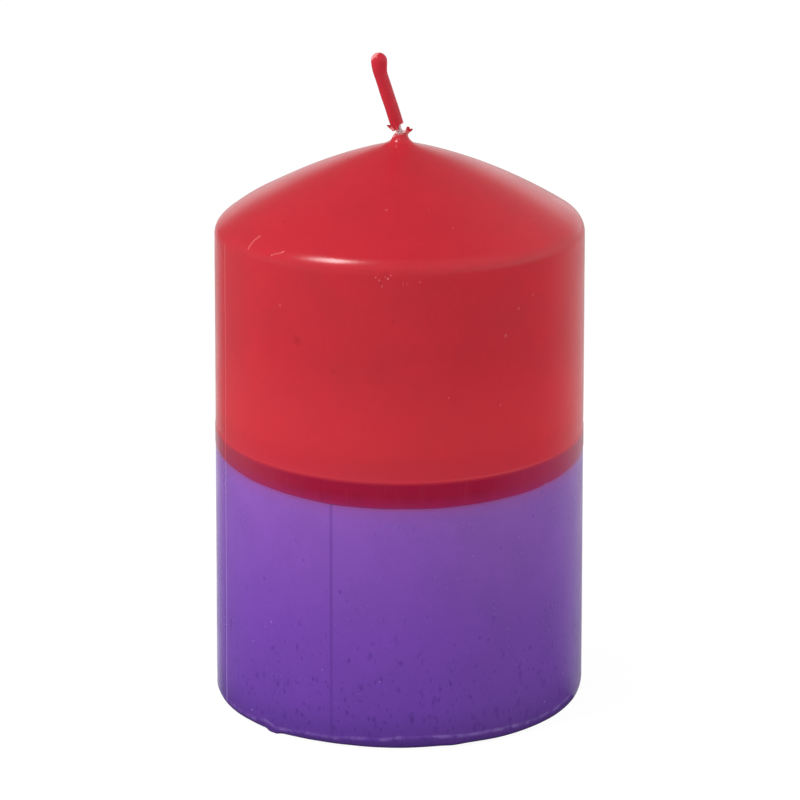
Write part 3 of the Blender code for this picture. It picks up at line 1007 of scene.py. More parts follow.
@dataclass(frozen=True)
class VioletWax(DipWax):
    """Violet dip coat, darker and speckled towards the foot."""

    levels: tuple[tuple[float, Colour], ...] = (
        (0.0, srgb(84, 47, 131)),
        (0.025, srgb(91, 52, 143)),
        (0.16, srgb(107, 60, 163)),
        (0.45, srgb(116, 66, 171)),
        (0.8, srgb(130, 79, 177)),
        (1.0, srgb(139, 87, 177)),
    )
    right_side_shade: Colour = (0.95, 1.05, 0.89)  # painted shade: its right side is a little greyer
    glow: Colour = srgb(150, 66, 124)  # painted glow just below the hem
    worn: Colour = srgb(148, 118, 186)  # painted highlight along the ridge of the foot, partly worn wax
    painted_lip_shade: Colour = srgb(66, 36, 104)  # painted shade below the ridge
    speck: Colour = srgb(72, 36, 124)
    fleck: Colour = srgb(168, 130, 205)
    # painted shade in the seams' grooves and painted highlight on their ridges
    seam_groove_shade: Colour = srgb(76, 38, 124)
    seam_ridge_highlight: Colour = srgb(176, 144, 208)
    dark_marks: tuple[Mark, ...] = wall_marks(
        (-18.0, 30.3, 0.4, 0.6, 1.5), (-15.3, 17.2, 0.45, 0.6, 1.5), (-27.0, 12.7, 0.45, 0.6, 1.5),
        (-15.9, 7.0, 0.5, 0.7, 1.6), (-30.9, 5.2, 0.5, 0.6, 1.6), (-9.1, 6.2, 0.45, 0.6, 1.5),
        (44.9, 42.0, 0.4, 0.5), (32.3, 37.5, 0.4, 0.5), (-20.2, 3.7, 0.5, 0.7),
    )
    light_marks: tuple[Mark, ...] = wall_marks(
        (-42.7, 21.8, 0.28, 0.7), (-45.8, 20.4, 0.22, 0.5), (-51.1, 16.7, 0.28, 0.5), (-51.9, 2.9, 0.35, 0.6),
        (-23.9, 14.8, 0.22, 0.5), (-5.8, 13.5, 0.22, 0.5), (39.1, 38.8, 0.22, 0.5), (22.7, 36.9, 0.22, 0.5),
    )

    def build(self) -> Material:
        """Builds the material."""
        graph = MaterialGraph("violet_wax_dipped", 0.32, IOR=1.44)
        across, _, height = graph.axes(graph.place)
        shade, ripples = self.mottle(graph, 130.0)
        colour = graph.ramp(graph.math("DIVIDE", height, self.body.hem_height), self.levels)
        # painted shade on the right side
        colour = graph.mix(graph.ease(across, 2 * MM, 22 * MM), colour, self.right_side_shade, "MULTIPLY")
        colour = graph.mix(graph.math("MULTIPLY", shade, 0.16), colour, self.speck)
        line = self.above_dip(graph, self.body.hem_height, self.body.red_dip_slope)
        # painted glow of light through the red hem, on the violet below it
        colour = graph.mix(graph.ease(line, -3.4 * MM, 0.4 * MM, 0.0, 0.28), colour, self.glow)
        colour = graph.mix(graph.ease(line, -0.9 * MM, 0.1 * MM, 0.0, 0.75), colour, self.glow)
        colour = self.specked(graph, height, colour)
        colour = self.marked(graph, colour, self.dark_marks, self.speck)
        colour = self.marked(graph, colour, self.light_marks, self.fleck)
        colour = self.seamed(graph, self.paint_foot_light_and_shade(graph, colour), self.seam_groove_shade, self.seam_ridge_highlight)
        return graph.dress(colour, graph.math("MULTIPLY_ADD", shade, 0.08, 0.2), ripples, 0.3, 0.12 * MM)

    def specked(self, graph: MaterialGraph, height: object, colour: object) -> NodeSocket:
        """Lays dark blots over a colour, many at the foot and few higher up, and a few light specks.

        Args:
            graph: The material's graph.
            height: Height above the base.
            colour: The colour so far.

        Returns:
            The colour with the blots and specks.
        """
        density = graph.ease(height, 1.0 * MM, 36.0 * MM, 1.0, 0.0)
        for scale, share in ((620.0, 0.32), (1250.0, 0.4)):
            mask = graph.group(self.effects.blots, Vector=graph.place, Scale=scale, Density=density)["Mask"]
            colour = graph.mix(graph.math("MULTIPLY", mask, share), colour, self.speck)
        specks = self.specks(graph, 500.0, 0.03, 0.12)
        return graph.mix(graph.math("MULTIPLY", specks, 0.1), colour, self.fleck)

    def paint_foot_light_and_shade(self, graph: MaterialGraph, colour: object) -> NodeSocket:
        """Paints shade on the lip below the foot's ridge, and a highlight mixed with worn wax in patches
        along the ridge.

        Args:
            graph: The material's graph.
            colour: The colour so far.

        Returns:
            The colour with the painted shade and highlight of the foot.
        """
        ridge = graph.attribute("ridge")
        # painted shade on the lip below the ridge
        colour = graph.mix(graph.ease(ridge, -0.6, -0.05, 0.25, 0.0), colour, self.painted_lip_shade)
        # painted highlight, partly worn wax, in patches along the ridge
        near = graph.ease(graph.math("ABSOLUTE", ridge), 0.0, 0.6, 1.0, 0.0)
        patches = graph.ease(graph.noise(graph.place, 420.0, 3.0, 0.6), 0.4, 0.68, 0.0, 0.34)
        return graph.mix(graph.math("MULTIPLY", near, patches), colour, self.worn)


@dataclass(frozen=True)
class PlainWax(Finish):
    """Undyed wax of the core."""

    colour: Colour = srgb(240, 233, 218)
    cloud: Colour = srgb(226, 217, 198)

    def build(self) -> Material:
        """Builds the material."""
        graph = MaterialGraph("plain_wax_poured", 0.45, IOR=1.44)
        shade, ripples = self.mottle(graph, 160.0)
        colour = graph.mix(shade, self.colour, self.cloud)
        return graph.dress(colour, graph.math("MULTIPLY_ADD", shade, 0.12, 0.4), ripples, 0.3, 0.15 * MM)


@dataclass(frozen=True)
class Cotton(Finish):
    """Waxed cotton of the braid, tinged by the red wax."""

    colour: Colour = srgb(232, 222, 220)
    shadow: Colour = srgb(204, 190, 190)
    tinge: Colour = srgb(238, 172, 180)

    def build(self) -> Material:
        """Builds the material."""
        graph = MaterialGraph("cotton_braid", 0.75, Sheen_Weight=0.3, Sheen_Roughness=0.5)
        fibres = graph.noise(graph.vector("MULTIPLY", graph.place, (1.0, 1.0, 0.25)), 5200.0, 3.0, 0.6)
        patches = graph.ease(graph.noise(graph.place, 1500.0), 0.45, 0.62)
        colour = graph.mix(graph.ease(fibres, 0.35, 0.65), self.shadow, self.colour)
        colour = graph.mix(graph.math("MULTIPLY", patches, 0.6), colour, self.tinge)
        return graph.dress(colour, graph.ease(fibres, 0.3, 0.7, 0.6, 0.9), fibres, 0.5, 0.05 * MM)


@dataclass(frozen=True)
class TinPlate(Finish):
    """Rolled tin plate of the wick's foot, with fine scratches and dull patches."""

    colour: Colour = srgb(205, 205, 200)
    dull: Colour = srgb(168, 168, 164)

    def build(self) -> Material:
        """Builds the material."""
        graph = MaterialGraph("tin_plate", 0.3, Metallic=1.0)
        lines = graph.noise(graph.vector("MULTIPLY", graph.place, (0.06, 1.0, 1.0)), 3200.0, 4.0, 0.6)
        patches = graph.noise(graph.place, 260.0, 3.0)
        colour = graph.mix(graph.ease(patches, 0.4, 0.65), self.colour, self.dull)
        rough = graph.math("MULTIPLY_ADD", patches, 0.2, graph.math("MULTIPLY", lines, 0.3))
        return graph.dress(colour, rough, lines, 0.15, 0.03 * MM)


# Sub-assemblies


@dataclass
class RedDipCoat:
    """Upper coat: hem, wall, shoulder, dome and the broken nipple round the wick."""

    body: BodyShape
    seams: tuple[Seam, ...]
    row: float = 0.85 * MM
    hem_rounding: float = 0.08 * MM
    ledge: float = 0.07 * MM  # how far the band stands out
    hollow_depth: float = 0.36 * MM  # in the dome, left of the nipple
    rim_depth: float = 0.07 * MM
    # How much higher than its CAD height the nipple's broken rim is, in millimetres, by azimuth
    rim_heights: Table = (
        (-165, 0.3), (-120, 0.1), (-95, -0.3), (-60, -0.3), (-38, 0.1), (-25, 0.45), (-8, 0.3), (5, 0.5),
        (25, 0.42), (60, 0.5), (90, 0.5), (125, 0.6), (160, 0.5),
    )

    def outline(self) -> Outline:
        """Outline of the coat, from the hem's outer edge up, over the dome and back inside."""
        body = self.body
        low, high = body.hem_height + self.hem_rounding, body.band_top
        centre = body.wall(low, self.hem_rounding - self.ledge)
        points = arc(centre, self.hem_rounding, -math.pi / 2, 0.0, 4)
        heights = spread(low + 0.3 * MM, high - 0.25 * MM, 5)
        heights += [high + step * MM for step in (-0.1, 0.0, 0.1, 0.2, 0.32, 0.5, 0.8)]
        rows = round(body.red_wall_height / self.row)
        heights += spread(high + 1.3 * MM, body.shoulder_height - 0.4 * MM, rows)
        points += [body.wall(height, -self.relief(height)) for height in heights]
        flare = body.flare_centre()
        points += body.top(0.0, turn_towards(body.dome_centre, flare), (12, 44))
        flare_end = turn_towards(flare, body.dome_centre) + math.tau
        flare_start = turn_towards(flare, (body.nipple_radius, body.nipple_top)) + math.tau
        points += arc(flare, body.nipple_flare, flare_end, flare_start, 14)[1:]
        points += [((body.nipple_radius + body.wick_bore) / 2, body.nipple_top + 0.04 * MM)]
        points += [(body.wick_bore, body.nipple_top - down * MM) for down in (0.0, 0.5, 1.2)]
        points += reversed(body.top(body.coat_thickness, body.bore_turn(body.coat_thickness), (5, 12)))
        points += [body.wall(high, body.coat_thickness), body.wall(high, body.hem_thickness)]
        return points + [body.wall(body.hem_height, body.hem_thickness)]

    def relief(self, height: float) -> float:
        """How far the wall stands out at a height: the band's ledge, which fades above it."""
        return self.ledge * (1 - eased(height, self.body.band_top - 0.1 * MM, self.body.band_top + 0.35 * MM))

    def on_candle(self, point: Vector) -> Vector:
        """Moves a point of the turned coat to its place on the candle."""
        moved = self.body.settle(point)
        if point.z > self.body.crown_height - 0.6 * MM:
            hollow = hump(point.xy.length, 1.85 * MM, 0.4 * MM) * hump(azimuth_of(point), -95.0, 45.0)
            moved.z -= self.hollow_depth * hollow
        if point.z > self.body.nipple_top - 0.7 * MM and point.xy.length < 2.2 * MM:
            moved += self.rim_break(point)
        return moved + seam_relief(point, self.body, self.seams)

    def rim_break(self, point: Vector) -> Vector:
        """Raises, narrows and roughens the nipple's rim to its broken outline."""
        share = eased(point.z, self.body.nipple_top - 0.7 * MM, self.body.nipple_top)
        turn = math.atan2(point.y, point.x)
        height = round_table(azimuth_of(point), self.rim_heights) * MM
        teeth = 0.6 * math.sin(9 * turn + 0.4) + 0.6 * math.sin(17 * turn) + 0.5 * math.sin(29 * turn + 2.0)
        chipped = 0.1 * hump(azimuth_of(point), -80.0, 35.0)
        narrower = -0.07 - chipped + 0.1 * noise.noise(point * 1500.0)
        rise = Vector((0.0, 0.0, height + teeth * self.rim_depth))
        return (rise + Vector((point.x, point.y, 0.0)) * narrower) * share

    def whitened(self, point: Vector) -> float:
        """Share of whitened wax, inside the broken rim and in patches along its edge."""
        if point.xy.length > 2.0 * MM:
            return 0.0
        rim = self.body.nipple_top + round_table(azimuth_of(point), self.rim_heights) * MM
        patchy = 0.5 + noise.noise(point * 1800.0 + Vector((4.0, 0.0, 0.0)))
        inside = 1 - eased(point.xy.length, 0.92 * MM, 1.08 * MM)
        return max(0.6 * eased(point.z, rim - 0.22 * MM, rim + 0.05 * MM) * patchy, 0.8 * inside)

    def build(self, material: Material) -> Object:
        """Builds the coat as one piece."""
        bm = seamed_shell(self.outline(), self.seams, self.on_candle)
        piece = Piece("red_dip_coat_shell", Slot.RED_WAX, replaces=("red_dip_coat",))
        return piece.finish(bm, material, {"whitened": self.whitened})


@dataclass
class VioletDipCoat:
    """Lower coat: tongue under the red hem, wall, foot with its wavy ridge, and the dished base."""

    body: BodyShape
    seams: tuple[Seam, ...]
    row: float = 0.85 * MM
    hole: float = 10.3 * MM
    base_coat: float = 0.8 * MM
    hem_gap: float = 0.02 * MM
    dish: float = 0.18 * MM  # how hollow the base is
    ridge: float = 0.11 * MM  # how far the ridge at the foot stands out
    ridge_fade: float = 3.0 * MM
    # Radius of the foot's lower edge, in millimetres, and height of the ridge above it
    edge_radii: Table = (
        (-150, 33.3), (-110, 34.0), (-84, 34.2), (-77, 33.5), (-70, 33.85), (-62, 33.85), (-53, 33.6),
        (-47, 33.9), (-43.3, 34.85), (-40.7, 34.85), (-39, 33.7), (-33, 33.3), (-23, 32.85), (-16, 32.8),
        (-8, 33.0), (0, 33.1), (13, 32.85), (17, 33.25), (23, 32.8), (34, 33.25), (47, 33.1), (64, 33.35),
        (80, 33.65), (95, 33.5), (150, 33.2),
    )
    ridge_heights: Table = (
        (-140, 1.7), (-110, 1.9), (-84, 1.5), (-62, 1.5), (-52, 1.3), (-46, 2.0), (-42.5, 1.55), (-41, 1.15),
        (-35, 1.45), (-31, 1.74), (-21, 1.76), (-14, 2.1), (-5, 2.2), (0, 2.6), (9, 2.65), (14, 2.45),
        (22, 2.28), (32, 2.2), (47, 1.95), (55, 2.2), (64, 2.6), (80, 3.0), (95, 2.8), (150, 2.2), (175, 2.2),
    )

    def outline(self) -> Outline:
        """Outline of the coat, from the hole in the base outwards, up the wall and back inside."""
        body = self.body
        step = body.hem_height - self.hem_gap
        tongue_inset = body.hem_thickness + body.fit_gap
        tongue_top = body.band_top - body.fit_gap
        points = arc((self.hole + 0.2 * MM, 0.2 * MM), 0.2 * MM, math.pi, 1.5 * math.pi, 4)
        points += [(radius * MM, self.dish_at(radius * MM)) for radius in range(11, 33)]
        points += body.foot(0.0, 0.0, 12)
        low = body.foot_fillet
        heights = [low + step * MM for step in (0.12, 0.25, 0.4, 0.6, 0.9, 1.3, 1.8, 2.4, 3.0)]
        heights += spread(low + 3.8 * MM, step - 0.4 * MM, round((step - low) / self.row))
        points += [body.wall(height) for height in heights]
        points += [body.wall(step - 0.03 * MM), body.wall(step, 0.03 * MM), body.wall(step, tongue_inset)]
        points += [body.wall(tongue_top, tongue_inset), body.wall(tongue_top, body.coat_thickness)]
        points += reversed(body.foot(body.coat_thickness, self.base_coat, 5))
        return points + [(self.hole, self.base_coat)]

    def dish_at(self, radius: float) -> float:
        """Height of the hollow base at a radius."""
        return self.dish * eased(radius, 31.5 * MM, 25.0 * MM) * eased(radius, 10.6 * MM, 13.0 * MM)

    def foot_moved(self, point: Vector) -> Vector:
        """Moves a point of the turned foot to where the uneven foot has it.

        Args:
            point: Point of the turned coat.

        Returns:
            The point, with the foot's own edge radius and ridge height at its azimuth.
        """
        body = self.body
        radius, height = point.xy.length, point.z
        azimuth = azimuth_of(point)
        centre = body.wall(body.foot_fillet, body.foot_fillet)[0]
        edge = round_table(azimuth, self.edge_radii) * MM
        ridge = round_table(azimuth, self.ridge_heights) * MM
        fade = body.foot_fillet + self.ridge_fade
        on_arc = abs(math.hypot(radius - centre, height - body.foot_fillet) - body.foot_fillet) < 0.03 * MM
        if height < 0.01 * MM + self.dish and radius < centre:
            radius += (edge - centre) * eased(radius, 28.0 * MM, centre)
        elif height < body.foot_fillet and on_arc:
            radius = edge + (centre + body.foot_fillet - edge) * (radius - centre) / body.foot_fillet
            height *= ridge / body.foot_fillet
        elif body.foot_fillet <= height < fade and radius > body.wall(height, 0.3 * MM)[0]:
            above = height - body.foot_fillet
            hollow = eased(above, 0.0, 0.3 * MM) * (1 - eased(above, 0.4 * MM, self.ridge_fade))
            smooth = max(0.8 * eased(abs(azimuth), 48.0, 62.0), 0.85 * hump(azimuth, -47.0, 7.0))
            radius -= self.ridge * hollow * (1 - smooth)
            height = ridge + above * (fade - ridge) / self.ridge_fade
        return outward_at(azimuth) * radius + Vector((0.0, 0.0, height))

    def on_candle(self, point: Vector) -> Vector:
        """Moves a point of the turned coat to its place on the candle."""
        moved = self.foot_moved(point) if point.z < self.body.foot_fillet + self.ridge_fade else point
        on_wall = point.z > self.body.foot_fillet
        relief = seam_relief(point, self.body, self.seams) if on_wall else Vector()
        return self.body.settle(moved) + relief

    def above_ridge(self, point: Vector) -> float:
        """Height of a point above the foot's ridge, in millimetres, up to 2."""
        if point.z > 6.0 * MM:
            return 2.0
        return min(point.z / MM - round_table(azimuth_of(point), self.ridge_heights), 2.0)

    def build(self, material: Material) -> Object:
        """Builds the coat as one piece."""
        bm = seamed_shell(self.outline(), self.seams, self.on_candle)
        piece = Piece("violet_dip_coat_shell", Slot.VIOLET_WAX, replaces=("violet_dip_coat",))
        return piece.finish(bm, material, {"ridge": self.above_ridge})


@dataclass
class WickFoot:
    """Stamped tin disc with a raised ring, four dimples and a neck that grips the wick."""

    disc_radius: float = 10.0 * MM
    underside: float = 0.4 * MM
    thickness: float = 0.4 * MM
    neck_height: float = 6.0 * MM
    neck_wall: float = 0.4 * MM
    bore: float = 0.95 * MM
    neck_fillet: float = 0.8 * MM
    edge: float = 0.12 * MM
    dimple_radius: float = 5.4 * MM
    dimple_depth: float = 0.22 * MM
    steps: int = 120

    def outline(self) -> Outline:
        """Outline of the foot, from the bore's lower end outwards and back up the neck."""
        top = self.underside + self.thickness
        neck_radius = self.bore + self.neck_wall
        neck_top = self.underside + self.neck_height
        inner, outer = spread(3.0 * MM, 7.2 * MM, 8), spread(7.8 * MM, 9.3 * MM, 6)
        rim = self.disc_radius - self.edge
        points = [(self.bore, self.underside + 0.3 * MM), (self.bore + 0.3 * MM, self.underside)]
        points += [(radius, self.underside) for radius in (1.8 * MM, 2.4 * MM, *inner, *outer)]
        points += arc((rim, self.underside + self.edge), self.edge, -math.pi / 2, 0.0, 4)
        points += arc((rim, top - self.edge), self.edge, 0.0, math.pi / 2, 4)
        points += [(radius, top) for radius in (*reversed(outer), *reversed(inner), 2.6 * MM)]
        centre = (neck_radius + self.neck_fillet, top + self.neck_fillet)
        points += arc(centre, self.neck_fillet, 1.5 * math.pi, math.pi, 7)
        points += [(neck_radius, height) for height in spread(top + 1.2 * MM, neck_top - 0.1 * MM, 12)]
        points += [(neck_radius - 0.1 * MM, neck_top), (self.bore, neck_top)]
        return points

    def stamped(self, point: Vector) -> Vector:
        """Presses the ring and the dimples into the disc and crimps the neck.

        Args:
            point: Point of the turned foot.

        Returns:
            The point on the stamped foot.
        """
        radius = point.xy.length
        turn = math.atan2(point.y, point.x)
        if point.z > self.underside + self.thickness + 1.0 * MM:
            grip = 0.035 * MM * (1 + math.cos(6 * turn)) * hump(point.z, 4.6 * MM, 0.9 * MM)
            return point - Vector((point.x, point.y, 0.0)).normalized() * grip * (radius > 1.1 * MM)
        near = abs((turn / (math.pi / 2)) % 1.0 - 0.5) * radius * math.pi / 2
        dimple = hump(radius, self.dimple_radius, 0.9 * MM) * hump(near, 0.0, 0.9 * MM)
        ring = 0.14 * MM * hump(radius, 8.4 * MM, 0.35 * MM)
        share = 1 - eased(point.z, self.underside + self.thickness, self.underside + 1.2 * MM)
        return point + Vector((0.0, 0.0, (self.dimple_depth * dimple + ring) * share))

    def build(self, material: Material) -> Object:
        """Builds the foot as one piece."""
        bm = revolve(self.outline(), steps=self.steps)
        reshape(bm, self.stamped)
        return Piece("wick_foot", Slot.TINNED_STEEL, replaces=("wick_sustainer",)).finish(bm, material)


@dataclass
class Wick:
    """One cotton braid of eight strands, from the metal foot to inside the drop."""

    line: WickLine
    strands: int = 8
    strand_radius: float = 0.24 * MM
    braid_radius: float = 0.38 * MM
    weave_depth: float = 0.08 * MM
    pitch: float = 6.0 * MM
    ring_step: float = 0.2 * MM
    sides: int = 6
    bottom: float = 0.45 * MM
    top: float = 13.6 * MM  # from the hinge

    def strand(self, number: int) -> BMesh:
        """Makes one strand round an upright axis, with z the distance from the hinge.

        Args:
            number: Which strand. Even ones wind one way and odd ones the other.

        Returns:
            The strand's bmesh.
        """
        start = self.bottom - self.line.hinge.z
        length = self.top - start
        rings = round(length / self.ring_step)
        bm = bmesh.new()
        bmesh.ops.create_circle(
            bm,
            cap_ends=True,
            radius=self.strand_radius,
            segments=self.sides,
            matrix=Matrix.Translation((0.0, 0.0, start)),
        )
        bmesh.ops.spin(
            bm,
            geom=bm.faces[:],
            cent=(0.0, 0.0, 0.0),
            axis=(0.0, 0.0, 1.0),
            dvec=(0.0, 0.0, length / rings),
            angle=0.0,
            steps=rings,
        )
        way = 1 if number % 2 else -1
        quarter = (number // 2) * math.tau / (self.strands // 2)

        def wound(point: Vector) -> Vector:
            """Winds a point of the straight strand round the wick."""
            turn = math.tau * (point.z - start) / self.pitch
            angle = way * turn + quarter
            radius = self.braid_radius + way * self.weave_depth * math.cos(self.strands // 2 * turn)
            return point + Vector((radius * math.cos(angle), radius * math.sin(angle), 0.0))

        reshape(bm, wound)
        return bm

    def build(self, material: Material) -> Object:
        """Builds the braid, bent along the wick's line at the hinge.

        Args:
            material: Its material.

        Returns:
            The piece.
        """
        whole = bpy.data.meshes.new("wick_strands")
        bm = bmesh.new()
        for number in range(self.strands):
            strand = self.strand(number)
            strand.to_mesh(whole)
            strand.free()
            bm.from_mesh(whole)
        bpy.data.meshes.remove(whole)
        reshape(bm, self.line.bend)
        nodes = ("wick", "wick_bend", "wick_tip")
        braid = Piece("wick_braid", Slot.COTTON, body=None, replaces=nodes).finish(bm, material)
        reach = self.line.bend_reach
        low, high = self.line.place(-reach), self.line.place(reach)
        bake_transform(braid)
        return braid


@dataclass
class WickSheath:
    """Wax on the wick's tip: a lumpy sheath, the frozen drop at its end and the broken lip at its foot."""

    line: WickLine
    start: float = 0.85 * MM
    bore: float = 0.95 * MM
    radius: float = 1.25 * MM
    lip_rise: float = 0.85 * MM
    drop_centre: float = 14.1 * MM
    drop_radius: float = 1.5 * MM
    swell_length: float = 3.2 * MM
    bore_end: float = 14.25 * MM
    sides: int = 72

    def outline(self) -> Outline:
        """Outline round an upright axis, from the bore's end down, round the lip and up over the drop."""
        points = [(0.0, self.bore_end)]
        points += [(self.bore, height) for height in spread(self.bore_end, self.clear, 8)]
        points += [(self.bore, height) for height in (self.start + 0.1 * MM, self.start)]
        points += [((self.bore + self.radius) / 2, self.start - 0.03 * MM)]
        points += [(self.radius, height) for height in (self.start, self.start + 0.12 * MM)]
        heights = spread(self.clear, self.drop_centre, 60)
        points += [(self.radius + self.swell(height), height) for height in heights]
        points += arc((0.0, self.drop_centre), self.drop_radius, 0.0, math.pi / 2, 14)[1:-1]
        return points + [(0.0, self.drop_centre + self.drop_radius)]

    @property
    def clear(self) -> float:
        """Distance along the wick from which the sheath is clear of its broken lip."""
        return self.start + self.lip_rise + 0.3 * MM

    def swell(self, height: float) -> float:
        """How much wider than the sheath the drop is at a distance along the wick."""
        share = eased(height, self.drop_centre - self.swell_length, self.drop_centre)
        return (self.drop_radius - self.radius) * share

    def shaped(self, point: Vector) -> Vector:
        """Gives a point of the turned sheath its lumps, streaks and broken lip.

        Args:
            point: Point of the sheath round an upright axis.

        Returns:
            The point, still round an upright axis.
        """
        turn = math.atan2(point.y, point.x)
        level = Vector((point.x, point.y, 0.0))
        outward = level.normalized() if level.length > 0 else Vector()
        lumps = 0.05 * noise.noise(Vector((point.x, point.y, point.z * 0.45)) * 700.0)
        streaks = 0.022 * noise.noise(Vector((math.cos(turn) * 3.5, math.sin(turn) * 3.5, point.z * 150.0)))
        fade = 1 - eased(point.z, self.drop_centre, self.drop_centre + self.drop_radius)
        swell = (lumps + streaks) * MM * fade * (level.length > self.bore + 0.05 * MM)
        share = 1 - eased(point.z, self.start + 0.05 * MM, self.clear)
        teeth = 0.07 * math.sin(5 * turn + 0.7) + 0.06 * math.sin(11 * turn) + 0.04 * math.sin(19 * turn + 1)
        rise = self.lip_rise * eased(math.cos(turn), -0.05, 0.3) + teeth * MM
        return point + outward * swell + Vector((0.0, 0.0, rise * share))

    def whitened(self, point: Vector) -> float:
        """Share of whitened wax, along the broken lip."""
        low = self.line.place(self.start)
        up = self.line.heading(self.start)
        height = (point - low).dot(up)
        side = eased((point - low).x, -0.2 * MM, 0.5 * MM) * self.lip_rise
        patchy = 0.5 + noise.noise(point * 1800.0)
        edge = 0.5 * (1 - eased(height, side, side + 0.22 * MM)) * patchy
        axis = low + up * height
        inside = 1 - eased((point - axis).length, 0.95 * MM, 1.05 * MM)
        return max(edge, 0.6 * inside)

    def build(self, material: Material) -> Object:
        """Builds the sheath as one piece."""
        bm = revolve(self.outline(), closed=False, steps=self.sides)
        reshape(bm, lambda point: self.line.bend(self.shaped(point)))
        piece = Piece("wick_sheath", Slot.RED_WAX, Body.WICK_END, ("wick_tip_coat",))
        return piece.finish(bm, material, {"whitened": self.whitened})


@dataclass(frozen=True)
class Flake:
    """Curled flake of broken wax that stands out of a rim."""

    name: str
    body: Body
    root: Vector  # middle of its root
    azimuth: float  # direction that it points in
    length: float
    half_width: float
    thickness: float
    pitch: float  # its slope at the root, in degrees
    curl: float  # how much steeper it is at the tip, in degrees
    roll: float = 0.0  # how far it is turned about its own length, in degrees
    notch: float = 0.0  # depth of the gap between its two prongs, as a share of its length
    point_share: float = 0.75  # how much it narrows to its tip
    cup: float = 0.15 * MM  # how far its sides stand up
    cells: tuple[int, int] = (18, 16)

    def build(self, material: Material) -> Object:
        """Builds the flake from a flat grid.

        Args:
            material: Its material.

        Returns:
            The piece.
        """
        bm = bmesh.new()
        bmesh.ops.create_grid(bm, x_segments=self.cells[0], y_segments=self.cells[1], size=0.5)
        reshape(bm, self.curled)
        faces = bm.faces[:]
        bmesh.ops.solidify(bm, geom=faces, thickness=self.thickness)
        reshape(bm, self.set_out)
        return Piece(self.name, Slot.RED_WAX, self.body).finish(bm, material, {"whitened": self.whitened})

    def curled(self, cell: Vector) -> Vector:
        """Takes a point of the grid, 1 by 1, to the flake, which lies along X with its root at the origin."""
        along, side = cell.x + 0.5, cell.y * 2
        length = self.length * (1 - self.notch * hump(side, 0.15, 0.3) - 0.15 * abs(side) ** 3)
        reach = along * length
        bend = math.radians(self.curl * along * 0.5)
        width = self.half_width * (1 - self.point_share * along**1.4)
        ripple = 0.08 * MM * noise.noise(Vector((along * 3, side * 2, self.pitch)))
        cup = self.cup * side**2
        return Vector((reach * math.cos(bend), side * width, reach * math.sin(bend) + ripple + cup))

    def set_out(self, point: Vector) -> Vector:
        """Takes a point of the flake to its place on the candle."""
        roll = Matrix.Rotation(math.radians(self.roll), 3, "X")
        pitch = Matrix.Rotation(math.radians(-self.pitch), 3, "Y")
        turn = Matrix.Rotation(math.radians(self.azimuth - 90), 3, "Z")
        return self.root + turn @ pitch @ roll @ point

    def whitened(self, point: Vector) -> float:
        """Share of whitened wax, in patches and less towards the tip."""
        reach = (point - self.root).length / self.length
        return max(0.0, 0.45 + 0.9 * noise.noise(point * 1600.0)) * (1 - eased(reach, 0.35, 0.9))


@dataclass
class Crumbs:
    """Small crumbs of wax caught on the broken rim."""

    places: tuple[tuple[float, float, float, float], ...]  # x, y, z and radius, in millimetres
    squash: float = 0.7
    lumps: float = 0.07 * MM  # how far their surface is pushed about
    seed: int = 7  # for the lumps, which would differ from run to run without one

    def build(self, material: Material) -> Object:
        """Builds the crumbs as one piece.

        Args:
            material: Their material.

        Returns:
            The piece.
        """
        noise.seed_set(self.seed)
        bm = bmesh.new()
        for x, y, z, radius in self.places:
            place = Matrix.Translation(Vector((x, y, z)) * MM) @ Matrix.Diagonal((1.0, 1.0, self.squash, 1.0))
            bmesh.ops.create_icosphere(bm, subdivisions=3, radius=radius * MM, matrix=place)
        reshape(bm, lambda point: point + noise.noise_vector(point * 2600.0) * self.lumps)
        whitened = {"whitened": lambda point: 1.0 + 0.5 * noise.noise(point * 2200.0)}
        return Piece("rim_crumbs", Slot.RED_WAX).finish(bm, material, whitened)


# Studio


